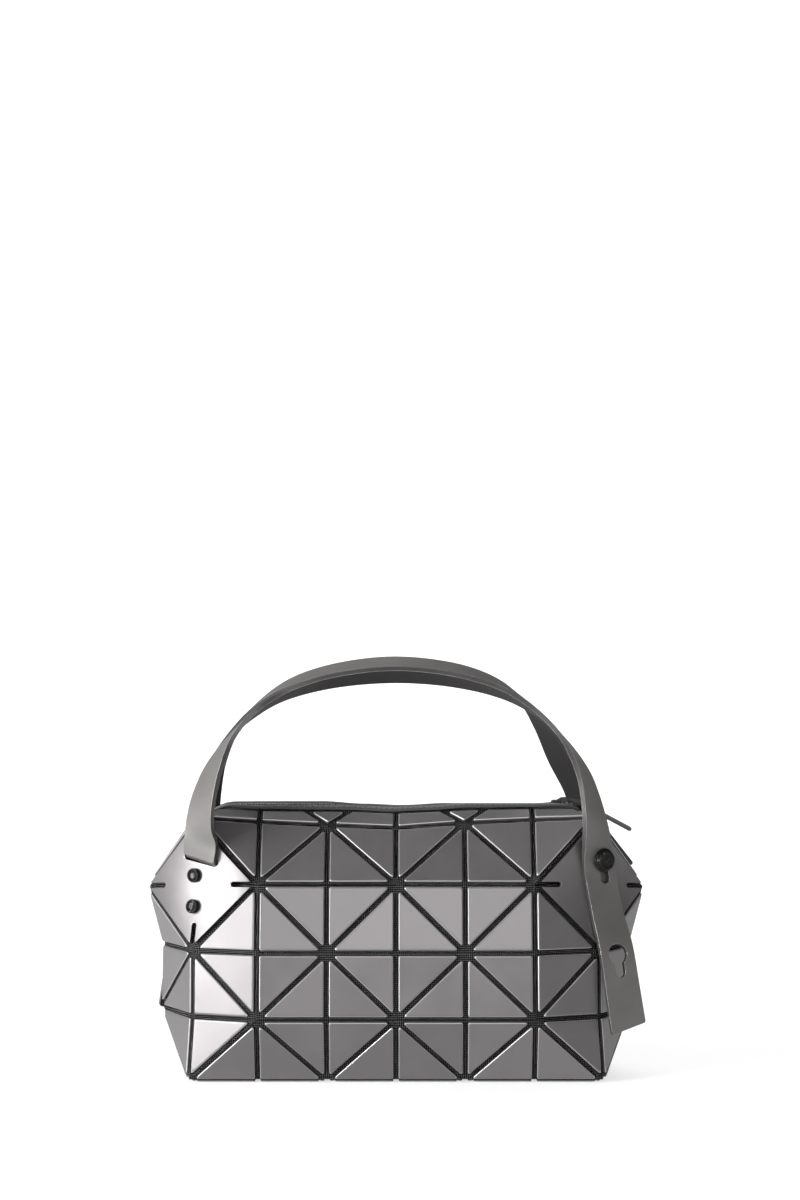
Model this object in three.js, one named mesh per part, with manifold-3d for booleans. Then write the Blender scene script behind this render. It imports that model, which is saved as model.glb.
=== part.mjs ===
// Small boston bag: stiff triangular tiles on black cloth, bent corner panels, two straps and a zip.
// Millimetres, +Z up, front towards -Y, origin on the floor under the middle of the bag.

import * as THREE from 'three';
import { mergeVertices } from 'three/addons/utils/BufferGeometryUtils.js';
import Module from 'manifold-3d';

const wasm = await Module();
wasm.setup();

// Driving dimensions of the tile field
const pitch = 34.5; // side of one square of the pattern
const gap = 2.7; // cloth left bare between two tiles
const tileThick = 1.0;
const clothThick = 1.0;
const columns = 6; // squares across the front

// Driving dimensions of the body
const bodyHeight = 136.2; // floor to the edge of the zip opening
const bodyDepth = 96; // front to back at its widest row
const endReach = 23.3; // front's upright corner line to the tip of each end
const mouthWidth = 21; // zip opening, front to back
const mouthFlat = 80; // half of the stretch where the opening runs level
const mouthSetback = 29.3; // tip of each end of the bag to the end of the opening
const mouthDrop = 9.3; // how far the ends of the opening lie below its middle
const rightTuck = 2.4; // the right end's shoulder is pressed in and down under its pull
const clearance = 0.3; // air between two pieces that touch

// Driving dimensions of the edge binding and the zip
const topInset = 3.3; // bare cloth between the top row of tiles and the cloth's edge
const bindThick = 1.0;
const bindLeg = 1.6; // how far the folded binding reaches down each face
const chainWidth = 5.0;
const chainThick = 1.6;
const chainRise = 1.2; // top of the teeth above the edge of the cloth
const toothPitch = 3.0;
const toothDepth = 0.5;
const tapeThick = 0.8;

// Driving dimensions of the corner panels
const panelThick = 1.5;
const pocketDepth = 4.0; // the cloth behind a panel's middle lies this much deeper
const slitLength = 14.4;
const slitWidth = 2.8;

// Driving dimensions of the straps
const strapWidth = 19.0;
const strapThick = 2.3;
const footHeight = 110; // height at which a strap leaves its slot
const archHeight = 203.1; // middle of the front strap at its highest
const backArchRise = 5.2; // the back strap stands this much higher
const backLegLean = 0.09; // share by which the back strap's fixed leg leans in
const leanStart = 0.3; // share of the rise where it begins to lean
const legSetback = 27.8; // tip of each end of the bag to a strap's leg
const strapOut = 35; // how far forward the legs bow
const tailHeight = 25.5; // height of the free end
const slotWidth = 21.2;

// Driving dimensions of the studs and keyholes
const studWidth = 7.2;
const studHeight = 2.4;
const shankWidth = 3.0;
const buttonWidth = 10.0;
const buttonFlange = 12.0;
const buttonHeight = 2.6;
const flangeHeight = 1.2;
const neckWidth = 4.0;
const keyholeWide = 10.4;
const keyholeSlim = 5.4;
const keyholeDrop = 9.0; // wide lobe to slim lobe, middle to middle
const keyholeStep = 46.5; // first keyhole to the spare one

// Driving dimensions of the zip sliders and pulls
const sliderWidth = 7.0;
const sliderThick = 1.3;
const sliderTail = 3.9; // pivot side of the plate to its back end
const lugThick = 0.8;
const lugTop = 3.2;
const pinWidth = 1.2;
const pinAhead = 3.0;
const pinUp = 1.9;
const eyeWidth = 3.0;
const pullThick = 2.3;
const pullDepth = 2.4;
const neckLength = 7.0;
const rodLength = 29.5;
const rodBend = 21.5; // degrees between neck and rod
const pullAside = 1.6; // the two pulls hang side by side, each this far from the middle
const firstSliderBack = 14.2; // end of the opening to each slider
const secondSliderBack = 5;
const firstPullTilt = 6.6; // degrees below level of each pull's neck
const secondPullTilt = 30.5;

const halfDepth = bodyDepth / 2;
const frontHalf = (columns * pitch) / 2;
const halfWidth = frontHalf + endReach;
const mouthReach = halfWidth - mouthSetback;
const legReach = halfWidth - legSetback;
const mouthHalf = mouthWidth / 2;
const lastRow = 4;
const ringCount = 2 * (columns + 2);
const half = ringCount / 2;

// One row for each line of the pattern, from the shoulder to the floor, as shares of the body's sizes:
// up of the height, out of the half depth at the front, corner of half the front's width,
// cornerOut of the half depth, end of the half width at the middle of the side.
const rows = [
  { up: 0.931, out: 0.42, corner: 0.966, cornerOut: 0.55, cornerUp: 0.965, end: 0.828, endUp: 0.93 },
  { up: 0.725, out: 0.79, corner: 0.97, cornerOut: 0.6, cornerUp: 0.725, end: 1.0, endUp: 0.698 },
  { up: 0.48, out: 0.938, corner: 0.98, cornerOut: 0.688, cornerUp: 0.48, end: 0.939, endUp: 0.484 },
  { up: 0.241, out: 1.0, corner: 0.98, cornerOut: 0.708, cornerUp: 0.241, end: 0.943, endUp: 0.247 },
  { up: 0, out: 0.72, corner: 1.0, cornerOut: 0.72, cornerUp: 0, end: 0.816, endUp: 0 },
];

// The shoulder line rises towards both ends, as shares of the height for each upright line.
const shoulderRise = [0, 0.014, 0.002, 0, 0.006, 0.022];

// Where the slanted gaps of the top row meet the opening, in squares from their corner
const cutShare = 0.41;

// Free stretch of a strap from its left leg over the arch to its right leg, as shares:
// along of the leg reach, out of the bow, up of the rise from the foot to the arch. roll is in degrees.
const strapPath = [
  { along: -0.99, out: 0.95, up: 0.2, roll: -45 },
  { along: -0.972, out: 1.0, up: 0.33, roll: -37 },
  { along: -0.925, out: 0.96, up: 0.49, roll: -25 },
  { along: -0.845, out: 0.86, up: 0.65, roll: -8 },
  { along: -0.73, out: 0.7, up: 0.785, roll: 3 },
  { along: -0.56, out: 0.5, up: 0.895, roll: 10 },
  { along: -0.31, out: 0.35, up: 0.97, roll: 17 },
  { along: 0.0, out: 0.3, up: 1.0, roll: 20 },
  { along: 0.3, out: 0.35, up: 0.972, roll: 17 },
  { along: 0.55, out: 0.5, up: 0.9, roll: 11 },
  { along: 0.73, out: 0.68, up: 0.785, roll: 3 },
  { along: 0.86, out: 0.82, up: 0.64, roll: -4 },
  { along: 0.945, out: 0.92, up: 0.48, roll: -17 },
  { along: 0.985, out: 0.95, up: 0.33, roll: -28 },
  { along: 1.005, out: 0.92, up: 0.2, roll: -38 },
];

// The tail below the button, as shares: down of the way from the button to the free end,
// aside of the strap's width towards the side, stand of its thickness away from the bag,
// swing in degrees about its front edge, away from the side of the bag.
const tailPath = [
  { down: 0.0, aside: 0.04, stand: 0, swing: 0 },
  { down: 0.16, aside: 0.14, stand: 0, swing: 1 },
  { down: 0.34, aside: 0.26, stand: 0.1, swing: 4 },
  { down: 0.52, aside: 0.36, stand: 0.3, swing: 8 },
  { down: 0.76, aside: 0.45, stand: 1.3, swing: 12 },
  { down: 1.0, aside: 0.54, stand: 2.4, swing: 15 },
];

// Places on a corner panel, as shares of its height from the top tip down
const slotPlace = { down: 0.32, aside: 0.07, turn: 14 }; // turned down towards the front, degrees
const slotDrift = 0.06; // the strap leans this much further forward half way up from its slot
const studPlaces = [0.43, 0.67];
const studAside = -0.03;
const buttonPlace = { down: 0.31, aside: -0.08 };

// Materials, one for each finish; every mesh gets its own copy
const finishes = {
  tile: { color: 0x8f9094, roughness: 0.34, metalness: 0.25 },
  strap: { color: 0x77787a, roughness: 0.38, metalness: 0.25 },
  cloth: { color: 0x121214, roughness: 0.85, metalness: 0.0 },
  metal: { color: 0x16161a, roughness: 0.25, metalness: 0.8 },
};

const bag = new THREE.Group();

function addMesh(name, geometry, finish, parent = bag) {
  const mesh = new THREE.Mesh(geometry, new THREE.MeshStandardMaterial(finishes[finish]));
  mesh.name = name;
  parent.add(mesh);
  return mesh;
}

function vec(x, y, z) {
  return new THREE.Vector3(x, y, z);
}

// Turns a point half way round the upright axis: the bag's back repeats its front that way.
function turned(point) {
  return vec(-point.x, -point.y, point.z);
}

// Closed geometry from a list of triangle corners, with its faces pointing out
function geometryFrom(corners) {
  const flat = corners.flatMap((p) => [p.x, p.y, p.z]);
  let geometry = new THREE.BufferGeometry();
  geometry.setAttribute('position', new THREE.Float32BufferAttribute(flat, 3));
  geometry = mergeVertices(geometry, 1e-4);
  let volume = 0;
  for (let i = 0; i < corners.length; i += 3) {
    volume += corners[i].dot(vec(0, 0, 0).crossVectors(corners[i + 1], corners[i + 2]));
  }
  if (volume < 0) {
    geometry.index.array.reverse();
  }
  return geometry;
}

function toSolid(geometry) {
  const plain = geometry.clone();
  plain.deleteAttribute('normal');
  plain.deleteAttribute('uv');
  const merged = mergeVertices(plain, 1e-4);
  const vertProperties = new Float32Array(merged.attributes.position.array);
  const triVerts = new Uint32Array(merged.index.array);
  return new wasm.Manifold(new wasm.Mesh({ numProp: 3, vertProperties, triVerts }));
}

function toGeometry(solid) {
  const mesh = solid.getMesh();
  const geometry = new THREE.BufferGeometry();
  geometry.setAttribute('position', new THREE.Float32BufferAttribute(mesh.vertProperties, 3));
  geometry.setIndex(new THREE.Uint32BufferAttribute(mesh.triVerts, 1));
  return geometry;
}

// Triangles that cover a convex outline, all from its corner "start"
function addFan(corners, outline, start = 0) {
  const count = outline.length;
  for (let i = 1; i < count - 1; i += 1) {
    corners.push(outline[start], outline[(start + i) % count], outline[(start + i + 1) % count]);
  }
}

function addQuad(corners, a, b, c, d) {
  corners.push(a, b, c, a, c, d);
}

// Skin between equal rings of points, with a cap at each end unless the rings close on themselves
function loft(rings, closed = false) {
  const corners = [];
  const size = rings[0].length;
  const spans = closed ? rings.length : rings.length - 1;
  for (let i = 0; i < spans; i += 1) {
    const from = rings[i];
    const to = rings[(i + 1) % rings.length];
    for (let j = 0; j < size; j += 1) {
      const k = (j + 1) % size;
      addQuad(corners, from[j], from[k], to[k], to[j]);
    }
  }
  if (!closed) {
    const last = rings[rings.length - 1];
    for (let j = 1; j < size - 1; j += 1) {
      corners.push(rings[0][0], rings[0][j + 1], rings[0][j]);
      corners.push(last[0], last[j], last[j + 1]);
    }
  }
  return geometryFrom(corners);
}

// Body: the lines of the pattern

function endPoint(side, r) {
  const row = rows[r];
  const floor = r === lastRow ? tileThick : 0;
  const tuck = side > 0 && r === 0 ? rightTuck : 0;
  return vec(side * (row.end * halfWidth - tuck), 0, row.endUp * bodyHeight - tuck + floor);
}

function rowPoint(k, r) {
  if (k >= half) {
    return k === ringCount - 1 ? endPoint(-1, r) : turned(rowPoint(k - half, r));
  }
  const row = rows[r];
  const floor = r === lastRow ? tileThick : 0;
  if (k === columns + 1) {
    return endPoint(1, r);
  }
  if (k === 0 || k === columns) {
    const side = k === 0 ? -1 : 1;
    return vec(side * row.corner * frontHalf, -row.cornerOut * halfDepth, row.cornerUp * bodyHeight + floor);
  }
  const rise = r === 0 ? shoulderRise[k] * bodyHeight : 0;
  return vec((k - columns / 2) * pitch, -row.out * halfDepth, row.up * bodyHeight + rise + floor);
}

function mouthShare(x) {
  return Math.min(1, Math.max(0, (Math.abs(x) - mouthFlat) / (mouthReach - mouthFlat)));
}

function mouthHeight(x) {
  return bodyHeight - mouthDrop * mouthShare(x) ** 3;
}

function mouthEdge(x) {
  return vec(x, -mouthHalf * Math.sqrt(1 - mouthShare(x) ** 4), mouthHeight(x));
}

// Edge of the opening at place k of the ring; step is -1 or 1 beside an even line, 0 on an odd one
function rimPoint(k, step) {
  if (k >= half) {
    return turned(rimPoint(k - half, step));
  }
  const outward = (k === 0 && step < 0) || (k === columns && step > 0);
  if (k === columns + 1) {
    return mouthEdge(mouthReach);
  }
  if (outward) {
    const beside = mouthReach - (mouthReach - mouthFlat) * 0.06;
    return mouthEdge(k === 0 ? -beside : beside);
  }
  return mouthEdge((k - columns / 2 + step * cutShare) * pitch);
}

function baseMiddle(c) {
  if (c === 0) {
    return rowPoint(ringCount - 1, lastRow);
  }
  if (c === columns) {
    return rowPoint(columns + 1, lastRow);
  }
  return vec((c - columns / 2) * pitch, 0, tileThick);
}

// Corner panel: a patch between its four tips, top, front, side and bottom

function panelTips(side) {
  const k = side < 0 ? 0 : columns;
  const front = side < 0 ? 1 : columns - 1;
  const end = side < 0 ? ringCount - 1 : columns + 1;
  return { top: rowPoint(k, 0), front: rowPoint(front, 1), end: rowPoint(end, 1), bottom: rowPoint(k, 2) };
}

function patchPoint(tips, a, b) {
  const point = tips.top.clone().multiplyScalar((1 - a) * (1 - b));
  point.addScaledVector(tips.front, a * (1 - b));
  point.addScaledVector(tips.end, (1 - a) * b);
  point.addScaledVector(tips.bottom, a * b);
  return point;
}

// Point, outward normal and the two surface directions at a place on a panel
function panelFrame(side, down, aside = 0) {
  const tips = panelTips(side);
  const a = down + aside / 2;
  const b = down - aside / 2;
  const point = patchPoint(tips, a, b);
  const alongA = patchPoint(tips, 1, b).sub(patchPoint(tips, 0, b));
  const alongB = patchPoint(tips, a, 1).sub(patchPoint(tips, a, 0));
  const normal = vec(0, 0, 0).crossVectors(alongB, alongA).multiplyScalar(-side).normalize();
  const upward = alongA.clone().add(alongB).negate().normalize();
  const forward = vec(0, 0, 0).crossVectors(normal, upward).multiplyScalar(side).normalize();
  return { point, normal, upward, forward };
}

// Body shell: cloth with its tiles, open along the zip

const shellPoints = new Map();
const shellFaces = [];

function shellPoint(id, point) {
  if (!shellPoints.has(id)) {
    shellPoints.set(id, { point, normal: vec(0, 0, 0) });
  }
  return id;
}

function rowId(k, r) {
  return shellPoint(`row ${k % ringCount} ${r}`, rowPoint(k % ringCount, r));
}

function rimId(k, step) {
  return shellPoint(`rim ${k % ringCount} ${step}`, rimPoint(k % ringCount, step));
}

function baseId(c) {
  if (c === 0) {
    return rowId(ringCount - 1, lastRow);
  }
  return c === columns ? rowId(columns + 1, lastRow) : shellPoint(`base ${c}`, baseMiddle(c));
}

function addFace(ids, tiled, lastInset = gap / 2, start = 0) {
  const points = ids.map((id) => shellPoints.get(id).point);
  const normal = vec(0, 0, 0);
  for (let i = 1; i < points.length - 1; i += 1) {
    const across = points[i].clone().sub(points[0]);
    normal.add(across.cross(points[i + 1].clone().sub(points[0])));
  }
  normal.normalize();
  ids.forEach((id) => shellPoints.get(id).normal.add(normal));
  shellFaces.push({ ids, points, normal, tiled, lastInset, start });
}

// A square of the pattern, cut in two between its even corners
function addSquare(ids, evenFirst, tiled) {
  const [a, b, c, d] = ids;
  if (evenFirst) {
    addFace([a, b, c], tiled);
    addFace([a, c, d], tiled);
  } else {
    addFace([a, b, d], tiled);
    addFace([b, c, d], tiled);
  }
}

// The outline of a tile: each corner of its face moved in along the two edges that meet there
function insetOutline(face) {
  const { points, lastInset } = face;
  const count = points.length;
  const inset = (edge) => (edge === count - 1 ? lastInset : gap / 2);
  return points.map((point, i) => {
    const before = (i + count - 1) % count;
    const ahead = points[(i + 1) % count].clone().sub(point).normalize();
    const behind = points[before].clone().sub(point).normalize();
    const spread = Math.sin(ahead.angleTo(behind));
    return point.clone()
      .addScaledVector(ahead, inset(before) / spread)
      .addScaledVector(behind, inset(i) / spread);
  });
}

function bodyShell() {
  const isPanelCorner = (k, r) => r === 1 && (k % half === 0 || k % half === columns);
  for (let k = 0; k < ringCount; k += 1) {
    for (let r = 0; r < lastRow; r += 1) {
      const ids = [rowId(k, r), rowId(k, r + 1), rowId(k + 1, r + 1), rowId(k + 1, r)];
      const next = (k + 1) % ringCount;
      const evenFirst = (k + r) % 2 === 0;
      const covered = [[k, r], [k, r + 1], [next, r + 1], [next, r]].map(([c, q]) => isPanelCorner(c, q));
      // The half that meets a panel's middle lies under the panel and carries no tile.
      const halves = evenFirst ? [[0, 1, 2], [0, 2, 3]] : [[0, 1, 3], [1, 2, 3]];
      halves.forEach((corners) => {
        addFace(corners.map((i) => ids[i]), !corners.some((i) => covered[i]));
      });
    }
    if (k % 2 === 0) {
      addFace([rimId(k, -1), rowId(k, 0), rimId(k, 1)], true, topInset);
    }
    const toRight = k % 2 === 0 ? [rimId(k, 1), rimId(k + 1, 0)] : [rimId(k, 0), rimId(k + 1, -1)];
    const nearEnd = [k, (k + 1) % ringCount].some((c) => c % half === columns + 1);
    const strip = [toRight[0], rowId(k, 0), rowId(k + 1, 0), toRight[1]];
    addFace(strip, !nearEnd, topInset, k % 2 === 0 ? 1 : 0);
  }
  for (let c = 0; c < columns; c += 1) {
    const front = [rowId(c, lastRow), baseId(c), baseId(c + 1), rowId(c + 1, lastRow)];
    const back = [rowId(half + c, lastRow), baseId(columns - c), baseId(columns - c - 1)];
    back.push(rowId(half + c + 1, lastRow));
    addSquare(front, c % 2 === 0, true);
    addSquare(back, c % 2 === 0, true);
  }
  const corners = [];
  const inner = new Map();
  shellPoints.forEach((entry, id) => {
    inner.set(id, entry.point.clone().addScaledVector(entry.normal.normalize(), -clothThick));
  });
  shellFaces.forEach((face) => {
    const { ids, points, normal, tiled, start } = face;
    const count = ids.length;
    addFan(corners, ids.map((id) => inner.get(id)).reverse(), count - 1 - start);
    if (!tiled) {
      addFan(corners, points, start);
      return;
    }
    const foot = insetOutline(face);
    const top = foot.map((point) => point.clone().addScaledVector(normal, tileThick));
    for (let i = 0; i < count; i += 1) {
      const j = (i + 1) % count;
      addQuad(corners, points[i], points[j], foot[j], foot[i]);
      addQuad(corners, foot[i], foot[j], top[j], top[i]);
    }
    addFan(corners, top, start);
  });
  const rim = rimLoop();
  rim.forEach((id, i) => {
    const next = rim[(i + 1) % rim.length];
    const outerNow = shellPoints.get(id).point;
    const outerNext = shellPoints.get(next).point;
    addQuad(corners, outerNow, outerNext, inner.get(next), inner.get(id));
  });
  return geometryFrom(corners);
}

// The names of the opening's edge points in order round the bag
function rimLoop() {
  const loop = [];
  for (let k = 0; k < ringCount; k += 1) {
    const steps = k % 2 === 0 ? [-1, 1] : [0];
    steps.forEach((step) => loop.push(rimId(k, step)));
  }
  return loop;
}

// Middle of each panel's patch, moved in so that the cloth clears the panel and the strap's end
for (const k of [0, columns, half, half + columns]) {
  const side = k % half === 0 ? -1 : 1;
  const { point, normal } = panelFrame(side, 0.5);
  const deep = point.addScaledVector(normal, -pocketDepth);
  shellPoint(`row ${k} 1`, k >= half ? turned(deep) : deep);
}

addMesh('body_shell', bodyShell(), 'tile');

// Folded binding over the cloth's edge, a channel section carried round the opening
function binding() {
  const loop = rimLoop();
  const face = 2 * clearance;
  const outer = bindThick + face;
  const inside = clothThick + clearance;
  const section = [
    [outer, -bindLeg], [outer, outer], [-inside - bindThick, outer], [-inside - bindThick, -bindLeg],
    [-inside, -bindLeg], [-inside, face], [face, face], [face, -bindLeg],
  ];
  const rings = loop.map((id, i) => {
    const before = shellPoints.get(loop[(i + loop.length - 1) % loop.length]).point;
    const after = shellPoints.get(loop[(i + 1) % loop.length]).point;
    const { point, normal } = shellPoints.get(id);
    const toHere = point.clone().sub(before).normalize();
    const fromHere = after.clone().sub(point).normalize();
    const along = toHere.clone().add(fromHere).normalize();
    const mitre = 1 / along.dot(fromHere);
    const outward = normal.clone().addScaledVector(along, -normal.dot(along)).normalize();
    const upward = vec(0, 0, 0).crossVectors(along, outward).normalize();
    if (upward.z < 0) {
      upward.negate();
    }
    return section.map(([p, q]) => {
      return point.clone().addScaledVector(outward, p * mitre).addScaledVector(upward, q);
    });
  });
  return loft(rings, true);
}

addMesh('opening_binding', binding(), 'cloth');

// Zip: two tapes, a toothed chain, two sliders and two pulls

function chainTop(x) {
  return mouthHeight(x) + chainRise;
}

const chainReach = mouthReach - clothThick - bindThick - 3 * clearance - 1.2;

function zipTape() {
  const reach = chainReach - 1.2;
  const stations = [-1, -0.96, -0.92, -0.87, -0.72, 0, 0.72, 0.87, 0.92, 0.96, 1];
  const rings = stations.map((share) => {
    const x = share * reach;
    const top = chainTop(x) - (chainThick - tapeThick) / 2;
    const slack = (1 + mouthShare(x)) * (clothThick + bindThick + 3 * clearance);
    const outerEdge = -(mouthHalf * Math.sqrt(1 - mouthShare(x) ** 4) - slack);
    const innerEdge = -(chainWidth / 2 + clearance);
    return [
      vec(x, Math.min(outerEdge, innerEdge - tapeThick), top),
      vec(x, innerEdge, top),
      vec(x, innerEdge, top - tapeThick),
      vec(x, Math.min(outerEdge, innerEdge - tapeThick), top - tapeThick),
    ];
  });
  return loft(rings);
}

addMesh('zip_tape_front', zipTape(), 'cloth');
addMesh('zip_tape_back', zipTape(), 'cloth').rotation.z = Math.PI;

function zipChain() {
  const shape = new THREE.Shape();
  const teeth = Math.round((2 * chainReach) / toothPitch);
  const step = (2 * chainReach) / teeth;
  shape.moveTo(-chainReach, chainTop(chainReach) - chainThick);
  for (let i = 0; i < teeth; i += 1) {
    const start = -chainReach + i * step;
    shape.lineTo(start, chainTop(start) - toothDepth);
    shape.lineTo(start + step / 2, chainTop(start + step / 2));
  }
  shape.lineTo(chainReach, chainTop(chainReach) - toothDepth);
  shape.lineTo(chainReach, chainTop(chainReach) - chainThick);
  const under = 12;
  for (let i = under - 1; i > 0; i -= 1) {
    const x = mouthFlat + ((chainReach - mouthFlat) * i) / under;
    shape.lineTo(x, chainTop(x) - chainThick);
  }
  for (let i = 0; i < under; i += 1) {
    const x = -mouthFlat - ((chainReach - mouthFlat) * i) / under;
    shape.lineTo(x, chainTop(x) - chainThick);
  }
  const geometry = new THREE.ExtrudeGeometry(shape, { depth: chainWidth, bevelEnabled: false });
  geometry.rotateX(Math.PI / 2);
  geometry.translate(0, chainWidth / 2, 0);
  return geometry;
}

addMesh('zip_chain', zipChain(), 'metal');

// Side view shapes are drawn in X and Z and extruded along Y.
function extrudeAcross(shape, from, to, curveSegments = 12) {
  const geometry = new THREE.ExtrudeGeometry(shape, { depth: to - from, bevelEnabled: false, curveSegments });
  geometry.rotateX(Math.PI / 2);
  geometry.translate(0, to, 0);
  return geometry;
}

// A slider's plate rides just above the teeth, with two lugs and a pin ahead of it.
function sliderGeometry(aside) {
  const plateTop = clearance + sliderThick;
  const plateEnd = pinAhead - eyeWidth / 2 - clearance;
  const plate = new THREE.Shape();
  plate.moveTo(-sliderTail, clearance);
  plate.lineTo(plateEnd, clearance);
  plate.lineTo(plateEnd, plateTop);
  plate.lineTo(-sliderTail + sliderThick, plateTop);
  plate.lineTo(-sliderTail, clearance + sliderThick / 2);
  plate.closePath();
  const lug = new THREE.Shape();
  lug.moveTo(-sliderThick, clearance + sliderThick / 2);
  lug.lineTo(pinAhead, clearance + sliderThick / 2);
  lug.absarc(pinAhead, pinUp, lugTop - pinUp, -Math.PI / 2, Math.PI / 2, false);
  lug.lineTo(plateEnd, lugTop);
  lug.lineTo(-sliderThick, plateTop);
  lug.closePath();
  const pin = new THREE.Shape();
  pin.absarc(pinAhead, pinUp, pinWidth / 2, 0, 2 * Math.PI, false);
  const lugInner = pullDepth / 2 + clearance;
  const lugOuter = lugInner + lugThick;
  let solid = toSolid(extrudeAcross(plate, -sliderWidth / 2, sliderWidth / 2));
  solid = solid.add(toSolid(extrudeAcross(lug, aside + lugInner, aside + lugOuter, 6)));
  solid = solid.add(toSolid(extrudeAcross(lug, aside - lugOuter, aside - lugInner, 6)));
  solid = solid.add(toSolid(extrudeAcross(pin, aside - lugOuter + 0.1, aside + lugOuter - 0.1, 5)));
  return toGeometry(solid);
}

// A pull: an eye round the pin, a short neck and a rod bent down from it, with a round end.
function pullGeometry(aside) {
  const bend = THREE.MathUtils.degToRad(rodBend);
  const r = pullThick / 2;
  const knee = { x: neckLength, z: 0 };
  const tip = { x: knee.x + rodLength * Math.cos(bend), z: -rodLength * Math.sin(bend) };
  const kneeShift = r * Math.tan(bend / 2);
  const eyeStart = Math.asin(r / (eyeWidth / 2));
  const outline = new THREE.Shape();
  outline.absarc(0, 0, eyeWidth / 2, eyeStart, 2 * Math.PI - eyeStart, false);
  outline.lineTo(knee.x - kneeShift, -r);
  outline.absarc(tip.x, tip.z, r, -bend - Math.PI / 2, -bend + Math.PI / 2, false);
  outline.lineTo(knee.x + kneeShift, r);
  outline.closePath();
  const hole = new THREE.Path();
  hole.absarc(0, 0, pinWidth / 2 + clearance, 0, 2 * Math.PI, true);
  outline.holes.push(hole);
  return extrudeAcross(outline, aside - pullDepth / 2, aside + pullDepth / 2, 8);
}

function addSlider(name, pullName, x, aside, tilt) {
  const probe = 0.01;
  const slope = Math.atan2(chainTop(x + probe) - chainTop(x - probe), 2 * probe);
  const seat = new THREE.Group();
  seat.position.set(x, 0, chainTop(x));
  seat.rotation.y = -slope;
  bag.add(seat);
  addMesh(name, sliderGeometry(aside), 'metal', seat);
  const pull = addMesh(pullName, pullGeometry(aside), 'metal', seat);
  pull.position.set(pinAhead, 0, pinUp);
  pull.rotation.y = slope + THREE.MathUtils.degToRad(tilt);
}

addSlider('zip_slider_1', 'zip_pull_1', mouthReach - firstSliderBack, -pullAside, firstPullTilt);
addSlider('zip_slider_2', 'zip_pull_2', mouthReach - secondSliderBack, pullAside, secondPullTilt);

// Corner panels

// A prism on a panel, from behind it to in front of it, with its shape's Y axis along "up"
function panelCutter(shape, frame, up, segments = 8) {
  const reach = pocketDepth + panelThick;
  const geometry = new THREE.ExtrudeGeometry(shape, { depth: 2 * reach, bevelEnabled: false, curveSegments: segments });
  geometry.translate(0, 0, -reach);
  const upward = up.clone().addScaledVector(frame.normal, -up.dot(frame.normal)).normalize();
  const right = vec(0, 0, 0).crossVectors(upward, frame.normal);
  geometry.applyMatrix4(new THREE.Matrix4().makeBasis(right, upward, frame.normal));
  geometry.translate(frame.point.x, frame.point.y, frame.point.z);
  return toSolid(geometry);
}

// A bar with one round end, from below zero up to "length"
function slitShape(width, length) {
  const r = width / 2;
  const shape = new THREE.Shape();
  shape.moveTo(-r, -width);
  shape.lineTo(r, -width);
  shape.absarc(0, length - r, r, 0, Math.PI, false);
  shape.closePath();
  return shape;
}

function roundShape(width) {
  const shape = new THREE.Shape();
  shape.absarc(0, 0, width / 2, 0, 2 * Math.PI, false);
  return shape;
}

function slotShape() {
  const r = (strapThick * 1.9) / 2;
  const straight = slotWidth / 2 - r;
  const shape = new THREE.Shape();
  shape.absarc(straight, 0, r, -Math.PI / 2, Math.PI / 2, false);
  shape.absarc(-straight, 0, r, Math.PI / 2, 1.5 * Math.PI, false);
  shape.closePath();
  return shape;
}

function panelSheet(side) {
  const tips = panelTips(side);
  const steps = 8;
  const edge = gap / 2 / tips.top.distanceTo(tips.front);
  const layers = [clearance, clearance + panelThick].map((lift) => {
    const rowsOfPoints = [];
    for (let i = 0; i <= steps; i += 1) {
      rowsOfPoints.push([]);
      for (let j = 0; j <= steps; j += 1) {
        const a = edge + (1 - 2 * edge) * (i / steps);
        const b = edge + (1 - 2 * edge) * (j / steps);
        const frame = panelFrame(side, (a + b) / 2, a - b);
        rowsOfPoints[i].push(frame.point.addScaledVector(frame.normal, lift));
      }
    }
    return rowsOfPoints;
  });
  const [low, high] = layers;
  const corners = [];
  for (let i = 0; i < steps; i += 1) {
    for (let j = 0; j < steps; j += 1) {
      addQuad(corners, high[i][j], high[i + 1][j], high[i + 1][j + 1], high[i][j + 1]);
      addQuad(corners, low[i][j], low[i][j + 1], low[i + 1][j + 1], low[i + 1][j]);
    }
    addQuad(corners, low[i][0], low[i + 1][0], high[i + 1][0], high[i][0]);
    addQuad(corners, low[i + 1][steps], low[i][steps], high[i][steps], high[i + 1][steps]);
    addQuad(corners, low[0][i + 1], low[0][i], high[0][i], high[0][i + 1]);
    addQuad(corners, low[steps][i], low[steps][i + 1], high[steps][i + 1], high[steps][i]);
  }
  return toSolid(geometryFrom(corners));
}

// Place of the strap's slot, and the direction that the strap takes out of it
function slotFrame(side, down = slotPlace.down, aside = slotPlace.aside) {
  const frame = panelFrame(side, down, aside);
  const turn = THREE.MathUtils.degToRad(slotPlace.turn);
  const { upward, forward } = frame;
  frame.upward = upward.clone().multiplyScalar(Math.cos(turn)).addScaledVector(forward, Math.sin(turn));
  frame.forward = forward.clone().multiplyScalar(Math.cos(turn)).addScaledVector(upward, -Math.sin(turn));
  return frame;
}

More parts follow.
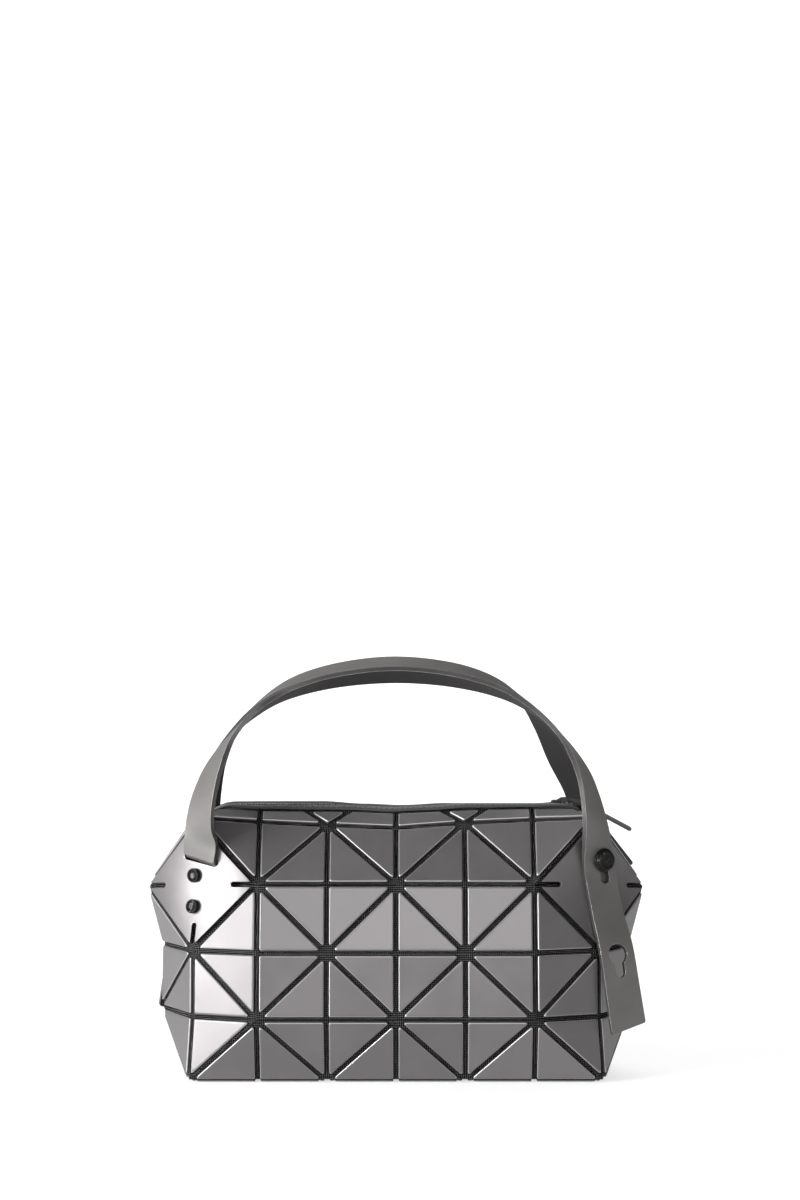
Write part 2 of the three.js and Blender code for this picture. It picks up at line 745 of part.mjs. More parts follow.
function panelGeometry(side, fixedEnd) {
  let solid = panelSheet(side);
  const tips = [[0, 0], [1, 0], [0, 1], [1, 1]];
  const middle = panelFrame(side, 0.5).point;
  tips.forEach(([a, b]) => {
    const tip = panelFrame(side, (a + b) / 2, a - b);
    const inward = middle.clone().sub(tip.point);
    solid = solid.subtract(panelCutter(slitShape(slitWidth, slitLength), tip, inward));
  });
  if (fixedEnd) {
    const frame = slotFrame(side);
    frame.point.addScaledVector(frame.upward, strapThick * 0.4);
    solid = solid.subtract(panelCutter(slotShape(), frame, frame.upward, 6));
    studPlaces.forEach((down) => {
      const at = panelFrame(side, down, studAside);
      solid = solid.subtract(panelCutter(roundShape(shankWidth + 2 * clearance), at, at.upward, 6));
    });
  } else {
    const at = panelFrame(side, buttonPlace.down, buttonPlace.aside);
    solid = solid.subtract(panelCutter(roundShape(neckWidth + 2 * clearance), at, at.upward, 6));
  }
  return toGeometry(solid);
}

const fixedPanel = panelGeometry(-1, true);
const buttonPanel = panelGeometry(1, false);
addMesh('corner_panel_front_left', fixedPanel, 'tile');
addMesh('corner_panel_front_right', buttonPanel, 'tile');
addMesh('corner_panel_back_right', fixedPanel.clone(), 'tile').rotation.z = Math.PI;
addMesh('corner_panel_back_left', buttonPanel.clone(), 'tile').rotation.z = Math.PI;

// Straps

const panelFace = clearance + panelThick;
const strapLift = panelFace + clearance + strapThick / 2;

// The upright corner of the body at a height, and the strap's directions there
function cornerAt(z) {
  const tips = panelTips(1);
  if (z >= tips.bottom.z) {
    const down = (tips.top.z - z) / (tips.top.z - tips.bottom.z);
    return panelFrame(1, down);
  }
  const low = rowPoint(columns, 3);
  const share = (tips.bottom.z - z) / (tips.bottom.z - low.z);
  const flat = panelFrame(1, 1);
  const normal = vec(flat.normal.x, flat.normal.y, 0).normalize();
  const point = tips.bottom.clone().lerp(low, share);
  return { point, normal, forward: vec(-normal.y, normal.x, 0).negate() };
}

// Stations of one strap: middle point, and the direction towards its front edge or a roll for it
function strapStations(arch, lean) {
  const stations = [];
  const slot = slotFrame(-1);
  const place = (frame, up, lift) => {
    return frame.point.clone().addScaledVector(frame.upward, up).addScaledVector(frame.normal, lift);
  };
  stations.push({ at: place(slot, 0, -clearance), width: slot.forward });
  stations.push({ at: place(slot, strapThick, strapLift), width: slot.forward });
  const above = slotFrame(-1, slotPlace.down / 2, slotPlace.aside + slotDrift);
  stations.push({ at: place(above, 0, strapLift + strapThick / 3), width: above.forward });
  const rise = arch - footHeight;
  strapPath.forEach(({ along, out, up, roll }) => {
    const above = Math.max(0, up - leanStart) / (1 - leanStart);
    const reach = legReach * (along < 0 ? 1 - lean * Math.sin(Math.PI * above) : 1);
    stations.push({ at: vec(along * reach, -out * strapOut, footHeight + up * rise), roll });
  });
  const button = panelFrame(1, buttonPlace.down, buttonPlace.aside);
  tailPath.forEach(({ down, aside, stand, swing }) => {
    const z = button.point.z + (tailHeight - button.point.z) * down;
    const frame = cornerAt(z);
    const at = frame.point.clone().addScaledVector(frame.normal, strapLift + stand * strapThick);
    at.addScaledVector(frame.forward, (0.5 - aside) * strapWidth);
    const width = frame.forward.clone().applyAxisAngle(vec(0, 0, 1), -THREE.MathUtils.degToRad(swing));
    at.addScaledVector(width, -0.5 * strapWidth);
    stations.push({ at, width });
  });
  return stations;
}

// The four long edges of a strap, as a ring of points at each station
function strapRings(arch, lean) {
  const stations = strapStations(arch, lean);
  return stations.map(({ at, width, roll }, i) => {
    const before = stations[Math.max(0, i - 1)].at;
    const after = stations[Math.min(stations.length - 1, i + 1)].at;
    const toHere = at.clone().sub(before).normalize();
    const fromHere = after.clone().sub(at).normalize();
    const along = toHere.add(fromHere).normalize();
    let across;
    if (width) {
      across = width.clone().addScaledVector(along, -width.dot(along)).normalize();
    } else {
      const front = vec(0, -1, 0);
      front.addScaledVector(along, -front.dot(along)).normalize();
      const outward = vec(0, 0, 0).crossVectors(front, along).normalize();
      const turn = THREE.MathUtils.degToRad(roll);
      across = front.multiplyScalar(Math.cos(turn)).addScaledVector(outward, Math.sin(turn));
    }
    const through = vec(0, 0, 0).crossVectors(across, along).normalize();
    const w = strapWidth / 2;
    const t = strapThick / 2;
    return [[w, t], [w, -t], [-w, -t], [-w, t]].map(([p, q]) => {
      return at.clone().addScaledVector(across, p).addScaledVector(through, q);
    });
  });
}

// Outline of a keyhole: a wide lobe at zero and a slim one below it
function keyholeShape() {
  const big = keyholeWide / 2;
  const slim = keyholeSlim / 2;
  const meet = Math.asin(slim / big);
  const shape = new THREE.Shape();
  shape.absarc(0, -keyholeDrop, slim, -Math.PI, 0, false);
  shape.absarc(0, 0, big, meet - Math.PI / 2, 1.5 * Math.PI - meet, false);
  shape.closePath();
  return shape;
}

function strapGeometry(arch, lean = 0) {
  let solid = toSolid(loft(strapRings(arch, lean)));
  const button = panelFrame(1, buttonPlace.down, buttonPlace.aside);
  const stations = strapStations(arch, lean);
  const tail = stations.slice(-tailPath.length).map((station) => station.at);
  const spareZ = button.point.z - keyholeStep;
  const lower = tail.findIndex((point) => point.z < spareZ);
  const share = (tail[lower - 1].z - spareZ) / (tail[lower - 1].z - tail[lower].z);
  const spare = cornerAt(spareZ);
  spare.point = tail[lower - 1].clone().lerp(tail[lower], share);
  const downTail = tail[lower].clone().sub(tail[lower - 1]);
  solid = solid.subtract(panelCutter(keyholeShape(), button, tail[0].clone().sub(tail[1]), 6));
  solid = solid.subtract(panelCutter(keyholeShape(), spare, downTail.negate(), 6));
  return toGeometry(solid);
}

addMesh('strap_front', strapGeometry(archHeight), 'strap');
addMesh('strap_back', strapGeometry(archHeight + backArchRise, backLegLean), 'strap').rotation.z = Math.PI;

// Studs: turned round their own axis, which stands on the panel

function turnedPiece(profile, segments) {
  const geometry = new THREE.LatheGeometry(profile.map(([r, h]) => new THREE.Vector2(r, h)), segments);
  geometry.deleteAttribute('uv');
  geometry.deleteAttribute('normal');
  const merged = mergeVertices(geometry, 1e-4);
  const index = merged.index.array;
  const kept = [];
  for (let i = 0; i < index.length; i += 3) {
    const [a, b, c] = [index[i], index[i + 1], index[i + 2]];
    if (a !== b && b !== c && c !== a) {
      kept.push(a, b, c);
    }
  }
  merged.setIndex(kept);
  return merged;
}

function standOn(mesh, frame) {
  mesh.position.copy(frame.point);
  mesh.quaternion.setFromUnitVectors(vec(0, 1, 0), frame.normal);
}

function addPair(frontName, backName, profile, frame) {
  const group = new THREE.Group();
  group.rotation.z = Math.PI;
  bag.add(group);
  standOn(addMesh(frontName, turnedPiece(profile, 16), 'metal'), frame);
  standOn(addMesh(backName, turnedPiece(profile, 16), 'metal', group), frame);
}

const studSeat = panelFace + clearance;
const studProfile = [
  [0, clearance],
  [shankWidth / 2, clearance],
  [shankWidth / 2, studSeat],
  [studWidth / 2, studSeat],
  [studWidth / 2, studSeat + studHeight * 0.6],
  [studWidth * 0.4, studSeat + studHeight * 0.9],
  [0, studSeat + studHeight],
];
studPlaces.forEach((down, i) => {
  const frame = panelFrame(-1, down, studAside);
  addPair(`round_stud_front_${i + 1}`, `round_stud_back_${i + 1}`, studProfile, frame);
});

const buttonSeat = strapLift + strapThick / 2 + 2 * clearance;
const buttonProfile = [
  [0, clearance],
  [neckWidth / 2, clearance],
  [neckWidth / 2, buttonSeat],
  [buttonFlange / 2, buttonSeat],
  [buttonFlange / 2, buttonSeat + flangeHeight],
  [buttonWidth / 2, buttonSeat + flangeHeight],
  [buttonWidth / 2, buttonSeat + flangeHeight + buttonHeight * 0.7],
  [buttonWidth * 0.42, buttonSeat + flangeHeight + buttonHeight],
  [0, buttonSeat + flangeHeight + buttonHeight],
];
addPair('button_stud_front', 'button_stud_back', buttonProfile, panelFrame(1, buttonPlace.down, buttonPlace.aside));

export default bag;
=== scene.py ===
import math
import random

import bmesh
import bpy
from mathutils import Matrix, Vector, geometry


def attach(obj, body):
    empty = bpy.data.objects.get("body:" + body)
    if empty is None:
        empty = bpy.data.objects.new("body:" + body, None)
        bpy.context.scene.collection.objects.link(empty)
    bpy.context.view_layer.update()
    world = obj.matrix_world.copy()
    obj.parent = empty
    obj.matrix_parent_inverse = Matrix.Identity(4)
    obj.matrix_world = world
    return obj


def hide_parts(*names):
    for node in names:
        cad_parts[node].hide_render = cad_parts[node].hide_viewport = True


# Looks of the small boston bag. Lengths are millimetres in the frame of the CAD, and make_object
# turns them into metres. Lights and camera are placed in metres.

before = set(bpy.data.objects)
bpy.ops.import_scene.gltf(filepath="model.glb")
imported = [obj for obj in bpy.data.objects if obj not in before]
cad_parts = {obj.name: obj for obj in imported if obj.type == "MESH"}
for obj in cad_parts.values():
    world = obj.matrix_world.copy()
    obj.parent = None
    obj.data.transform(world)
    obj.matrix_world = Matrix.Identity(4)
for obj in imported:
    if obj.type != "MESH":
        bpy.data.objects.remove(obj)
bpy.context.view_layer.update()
MM = 0.001
rng = random.Random(7)

# Sizes that the solids are built from
PITCH = 34.5  # between the upright lines of the pattern
GAP = 2.7  # of bare cloth between two tiles
TILE = 1.0  # tiles stand this proud of the pattern
CLOTH = 1.0  # the cloth's inner face lies this deep under it
SUNK = 0.6  # and its outer face this deep
COLUMNS = 6
HEIGHT = 136.2
HALF_DEPTH = 48.0
HALF_WIDTH = 126.8
MOUTH_HALF = 10.5  # half the width of the opening
MOUTH_FLAT = 80.0  # it narrows and falls from here
MOUTH_REACH = 97.5  # to here
MOUTH_DROP = 9.3
CHAIN_RISE = 1.2
RIGHT_TUCK = 2.4  # the right end's shoulder is pressed in
CLEAR = 0.3  # between pieces that lie on each other
TOP_INSET = 3.3  # of the top tiles, beside the binding
PANEL = 1.5
POCKET = 4.0  # the cloth behind a panel is set in
SLIT_LENGTH = 14.4
SLIT_WIDTH = 2.8
STRAP_WIDTH = 19.0
STRAP_THICK = 2.3
FOOT_HEIGHT = 110.0  # the free stretch of a strap starts here
ARCH_HEIGHT = 203.1
BACK_RISE = 5.2  # the back strap's arch is higher
LEG_REACH = 99.0
STRAP_OUT = 35.0
TAIL_HEIGHT = 25.5
KEY_WIDE = 10.4  # keyholes: width, width of the neck, drop to its round end, distance
KEY_SLIM = 5.4
KEY_DROP = 9.0
KEY_STEP = 46.5
FRONT_HALF = COLUMNS * PITCH / 2
LAST_ROW = 4
RING = 2 * (COLUMNS + 2)
HALF = RING // 2

# Rows of the pattern: up, out, corner, corner out, corner up, end, end up
ROWS = (
    (0.931, 0.42, 0.966, 0.55, 0.965, 0.828, 0.93),
    (0.725, 0.79, 0.97, 0.6, 0.725, 1.0, 0.698),
    (0.48, 0.938, 0.98, 0.688, 0.48, 0.939, 0.484),
    (0.241, 1.0, 0.98, 0.708, 0.241, 0.943, 0.247),
    (0.0, 0.72, 1.0, 0.72, 0.0, 0.816, 0.0),
)
SHOULDER = (0.0, 0.014, 0.002, 0.0, 0.006, 0.022)
# The opening cuts the top row's slanting lines this share of a column beside their corner, and at
# its ends this share of the rounded stretch from the tip
CUT = 0.41
RIM_BESIDE = 0.06

# The top edge sags a little, in millimetres: of the top row's corners, and of the edge by its x
SAG = (0.0, 0.0, 0.0, -1.2, 0.6, 0.0)
RIM_SAG = ((-88, 0.0), (-70, -1.0), (-25, -1.0), (-3, -2.0), (16, -1.3), (38, 0.0))

# Free stretch of a strap: along, out, up, roll in degrees
STRAP_PATH = (
    (-0.99, 0.95, 0.2, -45), (-0.972, 1.0, 0.33, -37), (-0.925, 0.96, 0.49, -25),
    (-0.845, 0.86, 0.65, -8), (-0.73, 0.7, 0.785, 3), (-0.56, 0.5, 0.895, 10),
    (-0.31, 0.35, 0.97, 17), (0.0, 0.3, 1.0, 20), (0.3, 0.35, 0.972, 17),
    (0.55, 0.5, 0.9, 11), (0.73, 0.68, 0.785, 3), (0.86, 0.82, 0.64, -4),
    (0.945, 0.92, 0.48, -17), (0.985, 0.95, 0.33, -28), (1.005, 0.92, 0.2, -38),
)
# Fastened end: down from the button, aside, stand off the panel, swing in degrees
TAIL_PATH = (
    (0.0, 0.04, 0.0, 0), (0.16, 0.14, 0.0, 1), (0.34, 0.26, 0.1, 4),
    (0.52, 0.36, 0.3, 8), (0.76, 0.45, 1.3, 12), (1.0, 0.54, 2.4, 15),
)
SLOT_DOWN = 0.32
SLOT_ASIDE = 0.07
SLOT_TURN = math.radians(14)
SLOT_DRIFT = 0.06
STUD_PLACES = (0.43, 0.67)
STUD_ASIDE = -0.03
BUTTON_PLACE = (0.31, -0.08)


# Lines of the pattern

def turned(p):
    return Vector((-p.x, -p.y, p.z))


def end_point(side, r):
    floor = TILE if r == LAST_ROW else 0.0
    tuck = RIGHT_TUCK if side > 0 and r == 0 else 0.0
    x = side * (ROWS[r][5] * HALF_WIDTH - tuck)
    return Vector((x, 0.0, ROWS[r][6] * HEIGHT - tuck + floor))


def row_point(k, r):
    """Corner of the pattern: k counts round the bag from the front left, r down from the top."""
    if k >= HALF:
        return end_point(-1, r) if k == RING - 1 else turned(row_point(k - HALF, r))
    if k == COLUMNS + 1:
        return end_point(1, r)
    up, out, corner, corner_out, corner_up = ROWS[r][:5]
    floor = TILE if r == LAST_ROW else 0.0
    if k in (0, COLUMNS):
        x = (-1 if k == 0 else 1) * corner * FRONT_HALF
        return Vector((x, -corner_out * HALF_DEPTH, corner_up * HEIGHT + floor))
    rise = SHOULDER[k] * HEIGHT + SAG[k] if r == 0 else 0.0
    return Vector(((k - COLUMNS / 2) * PITCH, -out * HALF_DEPTH, up * HEIGHT + rise + floor))


def mouth_share(x):
    return min(1.0, max(0.0, (abs(x) - MOUTH_FLAT) / (MOUTH_REACH - MOUTH_FLAT)))


def mouth_height(x):
    return HEIGHT - MOUTH_DROP * mouth_share(x) ** 3


def rim_sag(x):
    for (x0, z0), (x1, z1) in zip(RIM_SAG, RIM_SAG[1:]):
        if x0 <= x <= x1:
            t = (x - x0) / (x1 - x0)
            return z0 + (z1 - z0) * t * t * (3 - 2 * t)
    return 0.0


def mouth_edge(x):
    out = MOUTH_HALF * math.sqrt(max(0.0, 1 - mouth_share(x) ** 4))
    return Vector((x, -out, mouth_height(x) + rim_sag(x)))


def rim_point(k, step):
    """Point on the opening's edge above column k, or a little before (-1) or after it (1)."""
    if k >= HALF:
        return turned(rim_point(k - HALF, step))
    if k == COLUMNS + 1:
        return mouth_edge(MOUTH_REACH)
    if (k == 0 and step < 0) or (k == COLUMNS and step > 0):
        beside = MOUTH_REACH - (MOUTH_REACH - MOUTH_FLAT) * RIM_BESIDE
        return mouth_edge(-beside if k == 0 else beside)
    return mouth_edge((k - COLUMNS / 2 + step * CUT) * PITCH)


def panel_tips(side):
    k, front, end = (0, 1, RING - 1) if side < 0 else (COLUMNS, COLUMNS - 1, COLUMNS + 1)
    return row_point(k, 0), row_point(front, 1), row_point(end, 1), row_point(k, 2)


def patch_point(tips, a, b):
    """Point of the bent patch between four tips; a and b run from the top tip down its sides."""
    return (tips[0] * (1 - a) * (1 - b) + tips[1] * a * (1 - b)
            + tips[2] * (1 - a) * b + tips[3] * a * b)


def panel_frame(side, down, aside=0.0):
    """Point, outward normal, upward and forward at a place on a corner panel."""
    tips = panel_tips(side)
    a = down + aside / 2
    b = down - aside / 2
    along_a = patch_point(tips, 1, b) - patch_point(tips, 0, b)
    along_b = patch_point(tips, a, 1) - patch_point(tips, a, 0)
    normal = (along_b.cross(along_a) * -side).normalized()
    upward = -(along_a + along_b).normalized()
    forward = (normal.cross(upward) * side).normalized()
    return patch_point(tips, a, b), normal, upward, forward


def slot_frame(side, down=SLOT_DOWN, aside=SLOT_ASIDE):
    point, normal, upward, forward = panel_frame(side, down, aside)
    c, s = math.cos(SLOT_TURN), math.sin(SLOT_TURN)
    return point, normal, upward * c + forward * s, forward * c - upward * s


# Faces of the body: ids of their corners, the corners, normal, whether tiled, last edge's inset

points = {}
normals = {}
faces = []


def point_id(key, point):
    if key not in points:
        points[key] = point
        normals[key] = Vector()
    return key


def row_id(k, r):
    k %= RING
    return point_id(("row", k, r), row_point(k, r))


def rim_id(k, step):
    k %= RING
    return point_id(("rim", k, step), rim_point(k, step))


def base_id(c):
    if c in (0, COLUMNS):
        return row_id(RING - 1 if c == 0 else COLUMNS + 1, LAST_ROW)
    return point_id(("base", c), Vector(((c - COLUMNS / 2) * PITCH, 0.0, TILE)))


def add_face(ids, tiled, last_inset=GAP / 2):
    pts = [points[i] for i in ids]
    normal = Vector()
    for i in range(1, len(pts) - 1):
        normal += (pts[i] - pts[0]).cross(pts[i + 1] - pts[0])
    normal.normalize()
    for i in ids:
        normals[i] += normal
    faces.append((ids, pts, normal, tiled, last_inset))


def add_square(ids, even_first):
    a, b, c, d = ids
    for part in ((a, b, c), (a, c, d)) if even_first else ((a, b, d), (b, c, d)):
        add_face(list(part), True)


def body_faces():
    for k in (0, COLUMNS, HALF, HALF + COLUMNS):
        point, normal, _, _ = panel_frame(-1 if k % HALF == 0 else 1, 0.5)
        deep = point - normal * POCKET
        point_id(("row", k, 1), turned(deep) if k >= HALF else deep)

    def covered(k, r):
        return r == 1 and k % HALF in (0, COLUMNS)

    for k in range(RING):
        even = k % 2 == 0
        for r in range(LAST_ROW):
            spots = ((k, r), (k, r + 1), ((k + 1) % RING, r + 1), ((k + 1) % RING, r))
            for part in ((0, 1, 2), (0, 2, 3)) if (k + r) % 2 == 0 else ((0, 1, 3), (1, 2, 3)):
                corners = [spots[i] for i in part]
                bare = any(covered(*spot) for spot in corners)
                add_face([row_id(*spot) for spot in corners], not bare)
        if even:
            add_face([rim_id(k, -1), row_id(k, 0), rim_id(k, 1)], True, TOP_INSET)
        ends = (rim_id(k, 1), rim_id(k + 1, 0)) if even else (rim_id(k, 0), rim_id(k + 1, -1))
        near_end = any(c % HALF == COLUMNS + 1 for c in (k, k + 1))
        add_face([ends[0], row_id(k, 0), row_id(k + 1, 0), ends[1]], not near_end, TOP_INSET)
    for c in range(COLUMNS):
        add_square([row_id(c, LAST_ROW), base_id(c), base_id(c + 1), row_id(c + 1, LAST_ROW)],
                   c % 2 == 0)
        add_square([row_id(HALF + c, LAST_ROW), base_id(COLUMNS - c), base_id(COLUMNS - c - 1),
                    row_id(HALF + c + 1, LAST_ROW)], c % 2 == 0)
    for key in normals:
        normals[key].normalize()


body_faces()


# Helpers for meshes

def make_object(name, verts, polys, uvs, slots, smooth=True):
    """Mesh object from points in millimetres; uvs holds one pair for each corner of each face."""
    mesh = bpy.data.meshes.new(name)
    mesh.from_pydata([tuple(v * MM) for v in verts], [], polys)
    layer = mesh.uv_layers.new(name="UVMap")
    for item, uv in zip(layer.data, uvs):
        item.uv = uv
    mesh.polygons.foreach_set("material_index", slots)
    mesh.polygons.foreach_set("use_smooth", [smooth] * len(mesh.polygons))
    mesh.update()
    obj = bpy.data.objects.new(name, mesh)
    bpy.context.scene.collection.objects.link(obj)
    return obj


def put(obj, mats, slot_name, body, *nodes):
    for mat in mats if isinstance(mats, (list, tuple)) else (mats,):
        obj.data.materials.append(mat)
    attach(obj, body)
    if nodes:
        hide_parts(*nodes)
    return obj


def weight_normals(obj):
    obj.modifiers.new("normals", "WEIGHTED_NORMAL").keep_sharp = True


def bevel(obj, width, segments=2, angle=35):
    mod = obj.modifiers.new("edges", "BEVEL")
    mod.width = width * MM
    mod.segments = segments
    mod.limit_method = "ANGLE"
    mod.angle_limit = math.radians(angle)
    weight_normals(obj)
    return mod


def angle_at(pts, i):
    before = (pts[i - 1] - pts[i]).normalized()
    ahead = (pts[(i + 1) % len(pts)] - pts[i]).normalized()
    return before, ahead, before.angle(ahead)


def inset_outline(pts, insets):
    """Corners moved in along the two edges that meet there; insets has one value an edge."""
    out = []
    for i in range(len(pts)):
        before, ahead, turn = angle_at(pts, i)
        spread = math.sin(turn)
        out.append(pts[i] + ahead * (insets[i - 1] / spread) + before * (insets[i] / spread))
    return out


def bend(start, corner, end, steps):
    """Curve from start to end, drawn towards the corner."""
    out = []
    for s in range(steps + 1):
        t = s / steps
        out.append(start * (1 - t) ** 2 + corner * (2 * t * (1 - t)) + end * t * t)
    return out


def rounded(pts, radius, longest=4.0):
    out = []
    for i, p in enumerate(pts):
        before, ahead, turn = angle_at(pts, i)
        reach = min(radius / math.tan(turn / 2), longest)
        out.extend(bend(p + before * reach, p, p + ahead * reach, 5))
    return out


class Soup:
    """Collects points, faces and UVs of one object."""

    def __init__(self):
        self.verts = []
        self.polys = []
        self.uvs = []
        self.slots = []

    def ring(self, pts):
        start = len(self.verts)
        self.verts.extend(pts)
        return list(range(start, start + len(pts)))

    def face(self, ids, uvs=None, slot=0):
        self.polys.append(ids)
        self.uvs.extend(uvs if uvs is not None else [(0.0, 0.0)] * len(ids))
        self.slots.append(slot)

    def band(self, low, high, uv_of=None, slot=0, closed=True):
        count = len(low)
        for i in range(count if closed else count - 1):
            j = (i + 1) % count
            ids = [low[i], low[j], high[j], high[i]]
            self.face(ids, [uv_of(self.verts[v]) for v in ids] if uv_of else None, slot)

    def tube(self, rings, uv_of=None):
        """Bands from ring to ring, and a face at each end."""
        for low, high in zip(rings, rings[1:]):
            self.band(low, high, uv_of)
        self.face(rings[0][::-1])
        self.face(rings[-1])

    def object(self, name, smooth=True):
        return make_object(name, self.verts, self.polys, self.uvs, self.slots, smooth)


# Materials

def feed(socket, value):
    """Links an output to an input, or sets the input to a plain value."""
    if isinstance(value, bpy.types.NodeSocket):
        socket.id_data.links.new(value, socket)
    else:
        socket.default_value = value


def set_values(node, **values):
    """Names with a capital are the node's inputs, the others its own settings."""
    for key, value in values.items():
        if key[0].isupper():
            feed(node.inputs[key.replace("_", " ")], value)
        else:
            setattr(node, key, value)


def add_node(tree, kind, **values):
    node = tree.nodes.new("ShaderNode" + kind)
    set_values(node, **values)
    return node


def maths(tree, how, *values):
    node = add_node(tree, "Math", operation=how)
    for socket, value in zip(node.inputs, values):
        feed(socket, value)
    return node.outputs[0]


def new_material(name):
    mat = bpy.data.materials.new(name)
    mat.use_nodes = True
    tree = mat.node_tree
    shader = next(n for n in tree.nodes if n.type == "BSDF_PRINCIPLED")
    return mat, tree, shader


def grey(v):
    return (v, v, v, 1.0)


def ramp(tree, value, low, high, low_at, high_at):
    node = add_node(tree, "ValToRGB", Fac=value)
    ends = node.color_ramp.elements
    ends[0].position, ends[0].color = low_at, low
    ends[1].position, ends[1].color = high_at, high
    return node.outputs["Color"]


def noise(tree, **values):
    """Noise that is fixed to the object."""
    place = add_node(tree, "TexCoord").outputs["Object"]
    return add_node(tree, "TexNoise", Vector=place, **values).outputs["Fac"]


def about(tree, value, low, high):
    """A value from 0 to 1 turned into one from low to high."""
    return add_node(tree, "MapRange", Value=value, To_Min=low, To_Max=high).outputs["Result"]


def bump(tree, height, strength, distance, **values):
    node = add_node(tree, "Bump", Height=height, Strength=strength, Distance=distance, **values)
    return node.outputs["Normal"]


# Lighter colour mixed over edges: a painted highlight on the tile bevels, and wear on the metal
# edges in gloss_material.
def edge_wear_and_highlight(tree, colour, edge, bright):
    mix = add_node(tree, "Mix", data_type="RGBA", B=grey(bright), A=colour, Factor=edge)
    return mix.outputs["Result"]


def tile_material(name, base, roughness, metallic, specular=0.5, tint=(1.055, 1.0, 1.025)):
    """Satin moulded vinyl: faint mottling, fine orange-peel bump, and a lighter colour on the tile
    bevels as a painted highlight.
    """
    mat, tree, shader = new_material(name)
    mottle = noise(tree, Scale=38.0, Detail=4.0, Roughness=0.6)
    grain = noise(tree, Scale=2600.0, Detail=2.0)
    waves = noise(tree, Scale=55.0, Detail=1.0)
    tone = add_node(tree, "Attribute", attribute_name="tone").outputs["Fac"]
    painted_edge_highlight = add_node(tree, "Attribute", attribute_name="painted_edge_highlight").outputs["Fac"]
    low, high = (tuple(base * share * part for part in tint) + (1.0,) for share in (0.87, 1.06))
    mixed = maths(tree, "ADD", mottle, maths(tree, "MULTIPLY", tone, 0.55))
    shade = ramp(tree, mixed, low, high, 0.25, 0.75)
    soft = bump(tree, waves, 0.1, 0.0009)
    # The marked bevel rings get a lighter colour: a painted highlight.
    set_values(shader, Base_Color=edge_wear_and_highlight(tree, shade, painted_edge_highlight, min(1.0, base * 3.0 + 0.03)),
               Roughness=about(tree, mottle, roughness - 0.05, roughness + 0.06),
               Normal=bump(tree, grain, 0.07, 0.00012, Normal=soft),
               Metallic=metallic, IOR=1.5, Specular_IOR_Level=specular)
    return mat


def woven(tree, pitches, how):
    """Two sine waves along the UVs, which are in millimetres, added or multiplied."""
    uv = add_node(tree, "UVMap").outputs["UV"]
    split = add_node(tree, "SeparateXYZ", Vector=uv)
    waves = [maths(tree, "SINE", maths(tree, "MULTIPLY", split.outputs[axis], 2 * math.pi / pitch))
             for axis, pitch in zip("XY", pitches)]
    return maths(tree, how, *waves)


def mesh_cloth_material(pitch=1.9):
    """Black mesh with small lighter knots in a grid."""
    mat, tree, shader = new_material("cloth_mesh")
    knots = maths(tree, "ABSOLUTE", woven(tree, (pitch, pitch), "MULTIPLY"))
    set_values(shader, Base_Color=ramp(tree, knots, grey(0.001), grey(0.3), 0.82, 0.98),
               Normal=bump(tree, knots, 0.6, 0.0003), Roughness=0.7, Specular_IOR_Level=0.06)
    return mat


def ribbed_material(name, base, pitch, roughness=0.7):
    """Woven tape or thread: ribs along the UV's V and finer ones along its U."""
    mat, tree, shader = new_material(name)
    weave = woven(tree, (pitch, pitch * 0.6), "ADD")
    span = add_node(tree, "MapRange", Value=weave, From_Min=-2.0, From_Max=2.0).outputs["Result"]
    set_values(shader, Base_Color=ramp(tree, span, grey(base * 0.4), grey(base * 1.7), 0.2, 0.85),
               Normal=bump(tree, span, 0.5, 0.0002), Roughness=roughness, Sheen_Weight=0.2)
    return mat


def gloss_material(name, base, roughness, metallic, specular=0.5):
    """Painted metal: slight smudges in the gloss, and a little wear on the edges."""
    mat, tree, shader = new_material(name)
    smudge = noise(tree, Scale=160.0, Detail=5.0)
    shade = ramp(tree, smudge, grey(base * 0.8), grey(base * 1.3), 0.3, 0.7)
    bulge = add_node(tree, "NewGeometry").outputs["Pointiness"]
    edge = ramp(tree, bulge, grey(0.0), grey(1.0), 0.56, 0.66)
    set_values(shader, Base_Color=edge_wear_and_highlight(tree, shade, edge, base * 3 + 0.03),
               Roughness=about(tree, smudge, roughness - 0.07, roughness + 0.1),
               Normal=bump(tree, smudge, 0.05, 0.0001),
               Metallic=metallic, Specular_IOR_Level=specular)
    return mat


TILE_MAT = tile_material("tile_satin", 0.112, 0.32, 0.45)
STRAP_MAT = tile_material("strap_satin", 0.104, 0.42, 0.12, 0.35, (1.06, 1.02, 0.98))
# Near-black painted shade: on the walls of the tiles, the sides and inner faces of the panels, and
# the inner faces of the straps.
PAINTED_SHADE_MAT = tile_material("painted_shade_dark", 0.018, 0.6, 0.0, 0.05)
STRAP_EDGE_MAT = tile_material("strap_edge", 0.05, 0.24, 0.4)
# Light grey gloss for the strap's bevels: a painted highlight along its edges.
STRAP_HIGHLIGHT_MAT = tile_material("strap_rim_painted_highlight", 0.34, 0.24, 0.6)
CLOTH_MAT = mesh_cloth_material()
BIND_MAT = ribbed_material("binding_rib", 0.02, 0.7)
TAPE_MAT = ribbed_material("tape_weave", 0.014, 0.6)
THREAD_MAT = ribbed_material("thread_twist", 0.09, 0.35, 0.6)
METAL_MAT = gloss_material("metal_gloss", 0.02, 0.2, 0.6)
STUD_MAT = gloss_material("stud_gloss", 0.008, 0.15, 0.0, 0.12)


# Body: cloth, and the tiles on it

def weld(obj, distance=0.001):
    """Joins points that meet, unless the distance is 0, and turns all faces outward."""
    bm = bmesh.new()
    bm.from_mesh(obj.data)
    if distance:
        bmesh.ops.remove_doubles(bm, verts=bm.verts, dist=distance * MM)
    bmesh.ops.recalc_face_normals(bm, faces=bm.faces)
    bm.to_mesh(obj.data)
    bm.free()


